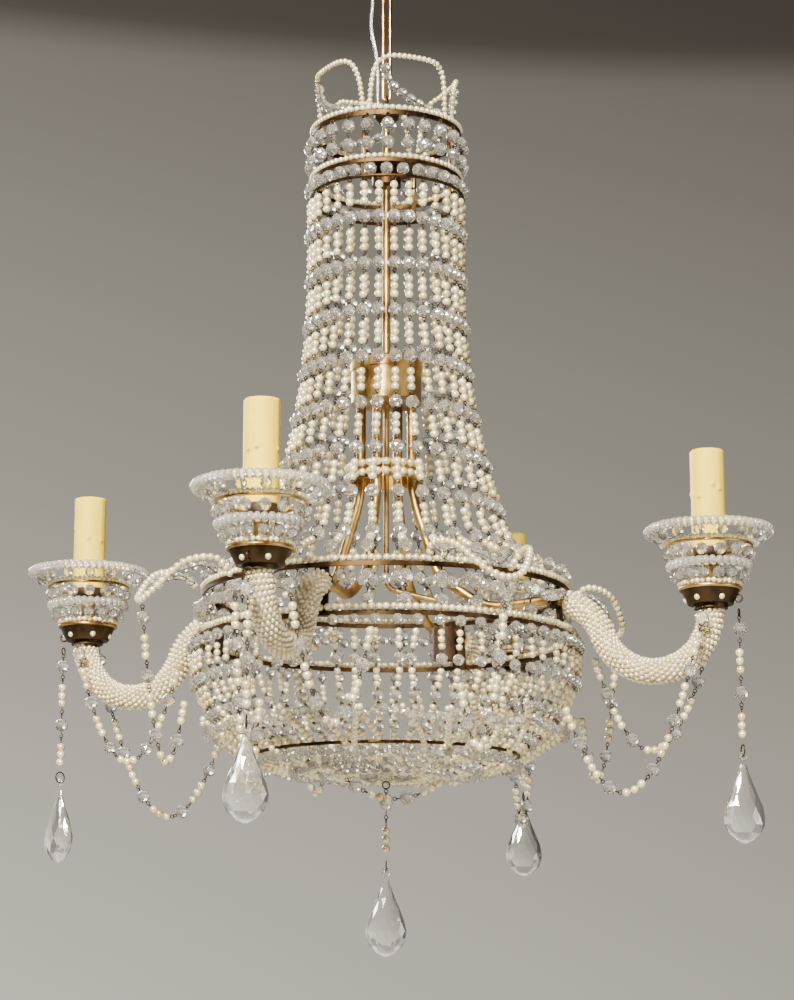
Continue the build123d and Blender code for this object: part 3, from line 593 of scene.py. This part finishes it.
crown = Strands()
arches = Piece()
for name, arm in azimuths.items():
    azimuth = arm + ARCH_SHIFTS.get(name, 0)
    arch = shaped(azimuth, CROWN_Z, ARCH_HALF + ARCH_OTHER_HALF)
    beads_along(arches, PEARL_SHAPE, arch, 0.0021, 0.0040)
    crown.wire.tube(arch.at(np.linspace(0, arch.length, 40)), ARCH_WIRE_R, 5)
    inside = shaped(azimuth, CROWN_Z, CREST_STRAND)
    beads_along(crown.crystals, CRYSTAL_SHAPE, inside, 0.0040, 0.0078)
    crown.wire.tube(inside.at(np.linspace(0, inside.length, 20)), THREAD_R, 5)
arches.finish("crown_arch_pearls", PEARL, "pearl", replaces=("crown_loops",))

posts = Piece()
for azimuth in azimuths.values():
    posts.tube(spot(azimuth, POST_REACH, np.linspace(HOOP_Z, CROWN_Z - 0.0045, 3)), POST_R, 12)
posts.finish("crown_post_skins", BRASS, "brass")

rims = Piece()
for height in (CROWN_Z, CROWN_MIDDLE_Z):
    ring_of(rims, PEARL_SHAPE, CROWN_RIM_PEARLS, CROWN_R, height, CROWN_PEARL_R)
rims.finish("crown_rim_pearls", PEARL, "pearl", replaces=("crown_pearls",))

stray = rng.uniform(-1.5, 1.5, CROWN_UPRIGHTS)
for azimuth in 360 // CROWN_UPRIGHTS * np.arange(CROWN_UPRIGHTS) + stray:
    ends = spot(azimuth, HOOP_R, CROWN_Z - 0.0060), spot(azimuth, HOOP_R, CROWN_MIDDLE_Z + 0.0025)
    crown.lay(Path(ends), [CRYSTAL, CRYSTAL])
ring_of(crown.crystals, CRYSTAL_SHAPE, CROWN_MIDDLE_CRYSTALS, HOOP_R, HOOP_Z + 0.0053, 0.0048)
crown.crystals.finish("crown_crystal_beads", CUT_GLASS, "crystal", replaces=("crown_crystals",))
crown.wire.finish("crown_wires", WIRE, "dark_bronze")


# ---- tent ----
TENT_PROFILE = (  # (radius, height) from the crown's hoop down to the drum
    (0.0578, -0.2127),
    (0.0573, -0.2345),
    (0.0583, -0.3095),
    (0.0668, -0.3835),
    (0.0845, -0.4550),
    (0.0970, -0.4830),
    (0.1253, -0.5003),
)
TENT_FREEDOM = (0, 0.4, 1, 1, 1, 0.6, 0)  # how far each of these points may sway
TENT_STRANDS = 32
tent_azimuths = 360 * (np.arange(TENT_STRANDS) + 0.5) / TENT_STRANDS
tent = Strands()
for azimuth in tent_azimuths:
    sway = rng.normal(0, 0.5, len(TENT_PROFILE)) * TENT_FREEDOM
    strand = Path([spot(azimuth + s, *point) for s, point in zip(sway, TENT_PROFILE)])
    tent.lay(strand, [3] + 8 * [CRYSTAL, 3])
tent.finish("tent", replaces=("tent_strands",))

COLLAR_PEARLS = 28
COLLAR_R = outer("collar_pearls") - PEARL_R
collar = Piece()
for height in (low("collar_pearls")[2] + PEARL_R, high("collar_pearls")[2] - PEARL_R):
    ring_of(collar, PEARL_SHAPE, COLLAR_PEARLS, COLLAR_R, height, PEARL_R)
collar.finish("collar_bead_rows", PEARL, "pearl", replaces=("collar_pearls",))


# ---- drum: pearl rows on the two rings, crystals on and between them ----
DRUM_LINK_R, DRUM_SWAG_R = 0.1305, 0.1380
SWAG_DIPS = np.array((0, 1, 0.4, 1.1, 0.8, 1.2, 0.3, 1, 0))  # an uneven swag between two arms
ROW_WOBBLE = 0.00015
drum_rows = Piece()
for count, radius, height in ((166, UPPER_R, UPPER_Z), (170, LOWER_R, LOWER_Z)):
    ring_of(drum_rows, PEARL_SHAPE, count, radius, height, DRUM_PEARL_R, wobble=ROW_WOBBLE)
drum_rows.finish("drum_row_pearls", PEARL, "pearl", replaces=("ring_pearls",))

drum = Strands()
ring_of(
    drum.crystals, CRYSTAL_SHAPE, TENT_STRANDS, 0.1312, UPPER_Z + 0.009, CRYSTAL_R,
    360 / TENT_STRANDS / 2,
)


def clear_of_arms(azimuth, margin):
    """Whether an azimuth is more than a margin, in degrees, from each arm."""
    return all(abs((azimuth - arm + 180) % 360 - 180) > margin for arm in azimuths.values())


for azimuth in tent_azimuths:
    if clear_of_arms(azimuth, 6):
        ends = [spot(azimuth, DRUM_LINK_R, height) for height in (UPPER_Z - 0.004, LOWER_Z - 0.002)]
        drum.lay(Path(ends), [CRYSTAL, CRYSTAL])
for first, second in arm_gaps:
    turns = np.linspace(first + 5, second - 5, len(SWAG_DIPS))
    swag = Path(spot(turns, DRUM_SWAG_R, UPPER_Z - 0.012 - 0.005 * SWAG_DIPS))
    beads_along(drum.crystals, CRYSTAL_SHAPE, swag, 0.0040, 0.0079)
drum.crystals.finish("drum_crystal_beads", CUT_GLASS, "crystal", replaces=("ring_crystals",))
drum.wire.finish("drum_wires", WIRE, "dark_bronze")


# ---- petals ----
# One side of each outline and its tip, as (turn in degrees, radius, height over the upper row).
PETAL_SIDE = ((13.0, 0.1397, -0.003), (13.0, 0.152, 0.007), (9.5, 0.172, 0.003), (4.5, 0.187, -0.015))
PETAL_TIP = (0, 0.1905, -0.021)
INNER_SIDE = ((9, 0.143, -0.002), (8, 0.155, 0.003), (3.5, 0.172, -0.003))
INNER_TIP = (0, 0.179, -0.010)


def tongue_outline(side, tip):
    """The whole outline from its one side: the left side, the tip, and the right side back."""
    left = tuple((-turn, radius, lift) for turn, radius, lift in side)
    return (*left, tip, *side[::-1])


petals = Strands()
for azimuth in petal_azimuths:
    tongue = shaped(azimuth, UPPER_Z, tongue_outline(PETAL_SIDE, PETAL_TIP))
    beads_along(petals.pearls, PEARL_SHAPE, tongue, 0.0026, 0.0049)
    petals.wire.tube(tongue.at(np.linspace(0, tongue.length, 60)), ARCH_WIRE_R, 5)
    inner = shaped(azimuth, UPPER_Z, tongue_outline(INNER_SIDE, INNER_TIP))
    beads_along(petals.crystals, CRYSTAL_SHAPE, inner, 0.0036, 0.0072)
    petals.wire.tube(inner.at(np.linspace(0, inner.length, 30)), THREAD_R, 5)
petals.finish("petal", replaces=("petal_loops",))


# ---- basket ----
BASKET_PROFILE = ((0.1415, -0.5505), (0.1385, -0.5840), (0.1200, -0.6140), (0.0890, -0.6350))
FLOOR_PROFILE = ((0.0930, -0.6335), (0.0600, -0.6440), (0.0285, -0.6470))
BASKET_SCALE = 0.80  # its beads are smaller than the tent's
SLACK_PEARL_R, SLACK_PITCH = 0.0023, 0.0047
# Crystal swags round the outside: (radius, height, number of dips, depth of a dip).
BASKET_SWAGS = ((0.1300, -0.614, 14, 0.006), (0.0960, -0.638, 12, 0.004), (0.0680, -0.6440, 8, 0.002))
basket = Strands(BASKET_SCALE)
for azimuth in 6.0 * (np.arange(60) + 0.5):
    sway = rng.normal(0, 0.8, len(BASKET_PROFILE)) * (0, 1, 1, 0)
    strand = Path([spot(azimuth + s, *point) for s, point in zip(sway, BASKET_PROFILE)])
    basket.lay(strand, 4 * [CRYSTAL, 3])
for azimuth in 10.0 * np.arange(36):
    strand = Path([spot(azimuth, *point) for point in FLOOR_PROFILE])
    basket.lay(strand, 3 * [CRYSTAL, 2])
# Slack strands that cross the lower half of the basket at a slant, and others under its floor.
for azimuth in 9.0 * np.arange(40) + rng.uniform(-3, 3, 40):
    lean = rng.choice((-1, 1)) * rng.uniform(10, 26)
    first, last = rng.uniform(0.30, 0.55), rng.uniform(0.85, 1.0)
    slant = Path([
        spot(azimuth + lean * share, 0.1450 - 0.052 * share**2, -0.588 - 0.052 * share)
        for share in np.linspace(first, last, 5)
    ])
    beads_along(basket.pearls, PEARL_SHAPE, slant, SLACK_PEARL_R, SLACK_PITCH)
for azimuth in 15.0 * np.arange(24) + rng.uniform(-4, 4, 24):
    lean = rng.choice((-1, 1)) * rng.uniform(12, 34)
    slant = Path([
        spot(azimuth + lean * share, 0.0950 - 0.062 * share, -0.6395 - 0.009 * share)
        for share in np.linspace(0, 1, 5)
    ])
    beads_along(basket.pearls, PEARL_SHAPE, slant, SLACK_PEARL_R, SLACK_PITCH)
for radius, height, dips, dip in BASKET_SWAGS:
    turns = np.linspace(0, 360, dips * 8, endpoint=False) + 5 * rng.uniform()
    lifts = -dip * np.abs(np.sin(np.radians(turns * dips / 2)))
    swag = Path(spot(turns, radius, height + lifts), steps=3, closed=True)
    beads_along(basket.crystals, CRYSTAL_SHAPE, swag, 0.0032, 0.0064)
basket.finish("basket", replaces=("basket_strands",))

cluster = Strands()
PLATE_Z = low("basket_cluster")[2] + 2 * CRYSTAL_R
ring_of(cluster.pearls, PEARL_SHAPE, 22, 0.0227, PLATE_Z - PEARL_R, PEARL_R)
ring_of(cluster.crystals, CRYSTAL_SHAPE, 8, 0.0145, PLATE_Z - CRYSTAL_R, CRYSTAL_R)
ring_of(cluster.pearls, PEARL_SHAPE, 10, 0.0085, PLATE_Z - PEARL_R, 0.0025)
cluster.finish("cluster", replaces=("basket_cluster",))


# ---- cups ----
# Heights are over the drip pan's rim, and radii are from the candle's axis.
PAN_RIM_Z = high("drip_pans")[2]
CUP_PEARL_ROWS = ((34, 0.0212, 0.0022, 0.0020), (50, 0.0300, 0.0320, 0.0019))
CUP_ROPES = ((56, 0.0425, 0.0400, 0.0037), (36, 0.0275, 0.0150, 0.0035))
CUP_COLUMNS = 14
CUP_CRYSTAL_ROWS = ((0.0240, 0.0075, 0.0040), (0.0285, 0.0230, 0.0043), (0.0362, 0.0355, 0.0040))
CUP_RIB = ((0.0150, -0.010), (0.0205, 0.001), (0.0275, 0.016), (0.0300, 0.030), (0.0420, 0.040))
CUP_RIB_R = 0.0003
CUP_BANDS = ((-0.0010, 0.0213, 0.0013), (0.0295, 0.0300, 0.0010))
cups = Strands()
bands, ropes = Piece(), Piece()
for centre in candles.values():
    shift = (centre[0], centre[1], PAN_RIM_Z)
    for count, radius, height, size in CUP_PEARL_ROWS:
        ring_of(cups.pearls, PEARL_SHAPE, count, radius, PAN_RIM_Z + height, size, centre=centre)
    for count, radius, height, size in CUP_ROPES:
        turns = 360 * (np.arange(count) + rng.uniform()) / count
        discs = np.stack([size * rng.uniform(0.95, 1.03, count)] * 3, -1) * (1, 1, 0.70)
        ropes.put(DISC_SHAPE, spot(turns, radius, height) + shift, spot(turns + 75, 1.0, 0.1), discs)
    turns = 360 * (np.arange(CUP_COLUMNS) + 0.3) / CUP_COLUMNS
    for radius, height, size in CUP_CRYSTAL_ROWS:
        cups.crystals.put(CRYSTAL_SHAPE, spot(turns, radius, height) + shift, (0, 0, 1), size)
    for turn in turns:
        rib = Path([spot(turn, *point) + shift for point in CUP_RIB])
        cups.wire.tube(rib.at(np.linspace(0, rib.length, 14)), CUP_RIB_R, 5)
    pan_pearls = spot(60 * np.arange(6) + 20, 0.0170, -0.0085) + shift
    cups.pearls.put(PEARL_SHAPE, pan_pearls, (0, 0, 1), 0.0022)
    turns = 7.5 * np.arange(48)
    for lift, radius, wire in CUP_BANDS:
        bands.tube(spot(turns, radius, lift) + shift, wire, 8, closed=True)
cups.pearls.finish("cup_pearl_beads", PEARL, "pearl", replaces=("cup_pearls",))
cups.crystals.finish("cup_crystal_beads", CUT_GLASS, "crystal", replaces=("cup_crystals",))
ropes.finish("cup_ropes", ROPE_GLASS, "crystal")
cups.wire.finish("cup_ribs", STEEL, "steel")
bands.finish("cup_bands", BRASS, "brass", replaces=("cup_cages",))


# ---- arm windings: seed beads wound in a helix round the tubes ----
SCROLL_R = 0.040
SCROLL_TOP_Z = PAN_RIM_Z - 0.017
LOWER_SWEEP, UPPER_SWEEP = 161, 56  # degrees of the curl under the cup and of the one at the root


def arc(centre, first, last, steps):
    """Points round a centre at the scroll's radius, from one angle to another, without the first."""
    turns = np.radians(np.linspace(first, last, steps))[1:]
    return [centre + SCROLL_R * np.array((cos(turn), sin(turn))) for turn in turns]


def arm_line():
    """The arm's centre line from the cup to its root, as (radius, height) points."""
    centre = np.array((CANDLE_R - SCROLL_R, SCROLL_TOP_Z))
    meet = radians(-LOWER_SWEEP)
    other_centre = centre + 2 * SCROLL_R * np.array((cos(meet), sin(meet)))
    start = 180 - LOWER_SWEEP
    line = [(CANDLE_R, SCROLL_TOP_Z + 0.002), (CANDLE_R, SCROLL_TOP_Z)]
    line += arc(centre, 0, -LOWER_SWEEP, 60)
    line += arc(other_centre, start, start + UPPER_SWEEP, 24)
    return np.array(line, float)


WINDING_R = 0.0080  # from the tube's centre to the beads' centres
WINDING_CORE_R = 0.0073  # pale, so that no dark shows between the beads
BEADS_A_TURN = 14.5
WINDING_PITCH = 0.0034
for name, azimuth in azimuths.items():
    points = arm_line()
    line = Path(spot(azimuth, points[:, 0], points[:, 1]), steps=2)
    count = int(line.length / WINDING_PITCH * BEADS_A_TURN)
    reaches = (np.arange(count) + 0.5) * WINDING_PITCH / BEADS_A_TURN
    along = line.along(reaches)
    across = spot(azimuth + 90, 1.0, 0.0)
    other = unit(np.cross(along, across))
    turns = 2 * pi * np.arange(count) / BEADS_A_TURN
    outwards = np.cos(turns)[:, None] * across + np.sin(turns)[:, None] * other
    hoopwise = np.cross(along, outwards)
    places = line.at(reaches) + outwards * (WINDING_R + rng.normal(0, 0.0001, (count, 1)))
    winding = Piece()
    winding.put(SEED_SHAPE, places, hoopwise, SEED_R * rng.uniform(0.93, 1.05, count))
    winding.tube(line.at(np.linspace(0, line.length, 90)), WINDING_CORE_R, 20)
    winding.finish(f"arm_beads_{name}", SEED, "seed_bead", replaces=(f"arm_winding_{name}",))


# ---- candle sleeves ----
SLEEVE_SIDES, SLEEVE_ROWS, SLEEVE_DRIPS = 72, 64, 7
SLEEVE_BORE_R, SLEEVE_EDGE = 0.01075, 0.0006


def candle_sleeve(name, centre):
    """A tube with wax drips moulded down its side, each with a dark brown mark just below its end."""
    bottom, top = low(f"candle_sleeve_{name}")[2], high(f"candle_sleeve_{name}")[2]
    outside = outer(f"candle_sleeve_{name}")
    turns = 2 * pi * np.arange(SLEEVE_SIDES) / SLEEVE_SIDES
    heights = np.linspace(bottom, top, SLEEVE_ROWS)
    bulge, drip_end_dark = np.zeros((SLEEVE_ROWS, SLEEVE_SIDES)), np.zeros((SLEEVE_ROWS, SLEEVE_SIDES))
    even = np.linspace(0, 2 * pi, SLEEVE_DRIPS, endpoint=False)
    for drip in even + rng.uniform(-0.3, 0.3, SLEEVE_DRIPS):
        end = bottom + (top - bottom) * rng.uniform(0.50, 0.66)
        across = 0.012 * np.abs((turns - drip + pi) % (2 * pi) - pi)[None]
        up = heights[:, None] - end
        ridge = np.exp(-((across / 0.0013) ** 2)) * np.clip(up / 0.002, 0, 1) * 0.00025
        drop = np.exp(-((across / 0.0014) ** 2) - (up / 0.0018) ** 2) * 0.0009
        bulge += np.maximum(ridge, drop)
        # A dark mark just below each drip's end.
        mark = np.exp(-((across / 0.0011) ** 2) - ((up + 0.0012) / 0.0009) ** 2)
        drip_end_dark = np.maximum(drip_end_dark, mark)
    edge = np.minimum(1, (top - heights) / 0.001)[:, None] * SLEEVE_EDGE - SLEEVE_EDGE
    radii = np.concatenate([outside + bulge + edge, np.full((2, SLEEVE_SIDES), SLEEVE_BORE_R)])
    levels = np.concatenate([heights, (top - SLEEVE_EDGE, bottom)])
    rows = len(levels)
    points = np.stack(
        [
            centre[0] + radii * np.sin(turns)[None],
            centre[1] - radii * np.cos(turns)[None],
            np.broadcast_to(levels[:, None], radii.shape),
        ],
        -1,
    )
    faces = []
    corners = rows * SLEEVE_SIDES
    for row in range(rows):
        for side in range(SLEEVE_SIDES):
            a, b = row * SLEEVE_SIDES + side, row * SLEEVE_SIDES + (side + 1) % SLEEVE_SIDES
            c, d = (b + SLEEVE_SIDES) % corners, (a + SLEEVE_SIDES) % corners
            faces.append((a, b, c, d))
    sleeve = Piece()
    sleeve.add(points, faces, True)
    made = sleeve.finish(
        f"drip_candle_{name}", CANDLE, "candle", f"sleeve_{name}", (f"candle_sleeve_{name}",)
    )
    marks = made.data.attributes.new("drip_end_dark", "FLOAT", "POINT")
    marks.data.foreach_set("value", np.concatenate([drip_end_dark.ravel(), np.zeros(2 * SLEEVE_SIDES)]))


for name, centre in candles.items():
    candle_sleeve(name, centre)


# ---- pendants and their pear drops ----
HOOK_R, HOOK_WIRE_R, TOP_RING_R = 0.004, 0.0005, 0.0026
DROP_FACETS = 14
DROP_HALF_WIDTH, DROP_HALF_DEPTH = 0.0148, 0.0074
DROP_EYE_R, DROP_EYE_WIRE_R = 0.0022, 0.0009
# Shares of the drop's half width and of its height, from its lower tip up.
DROP_PROFILE = (
    (0.10, 0.000), (0.42, 0.035), (0.78, 0.12), (0.97, 0.22), (1.00, 0.31), (0.90, 0.43),
    (0.68, 0.57), (0.44, 0.71), (0.25, 0.84), (0.14, 0.93),
)
facing = {
    joint["name"].removeprefix("drop_swing_"): joint["axis"]
    for joint in frame["joints"] if "drop_swing" in joint["name"]
}


def circle_of(first, second, turns):
    """Directions round a circle, from the second axis towards the first."""
    return np.outer(np.sin(turns), first) + np.outer(np.cos(turns), second)


UP = (0, 0, 1)
for name in (*ARM_NAMES, "centre"):
    node, drop_node = f"pendant_strand_{name}", f"crystal_drop_{name}"
    place = middle(node)
    top, bottom = high(node)[2], low(node)[2]
    azimuth = azimuths.get(name, 0.0)
    towards = np.array(facing[name], float)
    strand = Strands()
    ring_z = top - TOP_RING_R - HOOK_WIRE_R
    hook_z = bottom + HOOK_R + HOOK_WIRE_R
    turns = np.linspace(0, 2 * pi, 25)[:-1]
    ring = circle_of(spot(azimuth + 90, 1.0, 0.0), UP, turns)
    strand.wire.tube(ring * TOP_RING_R + (*place[:2], ring_z), HOOK_WIRE_R, 7, closed=True)
    hook = circle_of(towards, UP, np.linspace(radians(20), radians(372), 26))
    strand.wire.tube(hook * HOOK_R + (*place[:2], hook_z), HOOK_WIRE_R, 7)
    line = Path([(*place[:2], ring_z - TOP_RING_R), (*place[:2], hook_z + HOOK_R)])
    strand.lay(line, bead_groups(line.length))
    strand.finish(f"pendant_{name}", f"pendant_{name}", (node,))

    base = low(drop_node)[2]
    hole_z = bottom + HOOK_WIRE_R
    sideways = np.cross(UP, towards)
    rows = [(radius, base + height * (hole_z - 0.0016 - base)) for radius, height in DROP_PROFILE]
    pear = lathe(rows, DROP_FACETS, smooth=False, twist=0.5)
    points = (
        np.outer(pear.points[:, 0] * DROP_HALF_WIDTH, sideways)
        + np.outer(pear.points[:, 1] * DROP_HALF_DEPTH, towards)
        + np.outer(pear.points[:, 2], UP)
        + (*place[:2], 0)
    )
    drop = Piece()
    drop.add(points, pear.faces, False)
    eye = circle_of(sideways, UP, np.linspace(0, 2 * pi, 21)[:-1])
    drop.tube(eye * DROP_EYE_R + (*place[:2], hole_z), DROP_EYE_WIRE_R, 8, closed=True)
    drop.finish(f"pear_drop_{name}", DROP_GLASS, "crystal", f"drop_{name}", (drop_node,))


# ---- garlands ----
# On each side of an arm: (side, turn to its end on the basket, end's height, sag).
ARM_GARLANDS = ((-1, 15, -0.606, 0.092), (1, 16, -0.560, 0.082))
GARLAND_HOOK_Z, BASKET_HOOK_R = -0.541, 0.1505


def hanging(start, end, sag):
    """A line that sags between two places; the sag is at its middle."""
    t = np.linspace(0, 1, 25)[:, None]
    control = (start + end) / 2 - (0, 0, 2 * sag)
    return Path((1 - t) ** 2 * start + 2 * t * (1 - t) * control + t**2 * end, steps=2)


chains = Strands()
for azimuth in azimuths.values():
    for side, end_turn, end_z, sag in ARM_GARLANDS:
        hook = spot(azimuth + side * 4.3, CANDLE_R, GARLAND_HOOK_Z)
        line = hanging(hook, spot(azimuth + side * end_turn, BASKET_HOOK_R, end_z), sag)
        chains.lay(line, bead_groups(line.length))
for azimuth in petal_azimuths:
    tip, end = spot(azimuth, 0.189, UPPER_Z - 0.025), spot(azimuth - 6, BASKET_HOOK_R, -0.596)
    line = hanging(tip, end, 0.075)
    chains.lay(line, bead_groups(line.length))
line = hanging(np.array((-0.028, -0.030, -0.653)), np.array((0.042, -0.030, -0.652)), 0.014)
chains.lay(line, bead_groups(line.length))
chains.finish("garland", replaces=("garlands",))


# ---- stage: a pale floor, a grey studio and soft lights ----
def area_light(name, place, target, size, power, colour=(1, 1, 1)):
    """A rectangular light in watts, turned to its target."""
    light = bpy.data.lights.new(name, "AREA")
    light.shape, light.size, light.size_y = "RECTANGLE", size[0], size[1]
    light.energy, light.color = power, colour
    made = bpy.data.objects.new(name, light)
    bpy.context.scene.collection.objects.link(made)
    made.location = place
    made.rotation_euler = (Vector(target) - Vector(place)).to_track_quat("-Z", "Y").to_euler()
    return made


lights = [
    area_light("key", (-0.7, -2.6, 1.1), (0, 0, -0.4), (0.6, 0.5), 430, (1.0, 0.93, 0.80)),
    area_light("fill", (2.4, -1.4, -0.6), (0, 0, -0.5), (1.2, 1.2), 24, (1.0, 0.97, 0.92)),
    area_light("rim", (-1.2, 2.2, 0.4), (0, 0, -0.4), (1.0, 0.6), 60),
]


def studio_world():
    """A warm grey room: pale low down, dark overhead, dim behind the viewer."""
    world = bpy.data.worlds.new("studio")
    bpy.context.scene.world = world
    world.use_nodes = True
    nodes, links = world.node_tree.nodes, world.node_tree.links
    direction = nodes.new("ShaderNodeTexCoord").outputs["Generated"]
    split = nodes.new("ShaderNodeSeparateXYZ")
    links.new(direction, split.inputs["Vector"])

    def maths(operation, first, second, third=0.0):
        made = nodes.new("ShaderNodeMath")
        made.operation = operation
        for socket, value in zip(made.inputs, (first, second, third)):
            if hasattr(value, "node"):
                links.new(value, socket)
            else:
                socket.default_value = value
        return made.outputs["Value"]

    # The ceiling's edge runs slightly downwards to the right.
    height = maths("MULTIPLY_ADD", split.outputs["X"], 0.054, split.outputs["Z"])
    wall = add_ramp(nodes, links, height, (
        (0.00, (0.68, 0.64, 0.54)), (0.10, (0.55, 0.51, 0.43)), (0.20, (0.38, 0.352, 0.29)),
        (0.366, (0.205, 0.188, 0.152)), (0.380, (0.085, 0.074, 0.060)), (0.50, (0.04, 0.035, 0.03)),
    ))
    # Brighter on the left, and dim behind the viewer.
    sideways = maths("MULTIPLY_ADD", split.outputs["X"], -0.85, 0.95)
    forwards = maths("MULTIPLY_ADD", split.outputs["Y"], 2.0, 0.3)
    ahead = maths("MAXIMUM", maths("MINIMUM", forwards, 1.0), 0.12)
    links.new(wall, nodes["Background"].inputs["Color"])
    links.new(maths("MULTIPLY", sideways, ahead), nodes["Background"].inputs["Strength"])


studio_world()

FLOOR_Z, FLOOR_HALF = -2.0, 8
floor_corners = [
    (x * FLOOR_HALF, y * FLOOR_HALF, FLOOR_Z) for x, y in ((-1, -1), (1, -1), (1, 1), (-1, 1))
]
floor_mesh = bpy.data.meshes.new("floor")
floor_mesh.from_pydata(floor_corners, [], [(0, 1, 2, 3)])
floor = bpy.data.objects.new("floor", floor_mesh)
bpy.context.scene.collection.objects.link(floor)
floor_mesh.materials.append(dull_material("pale_floor", (0.62, 0.61, 0.60), (0.55, 0.54, 0.53), 0.6))
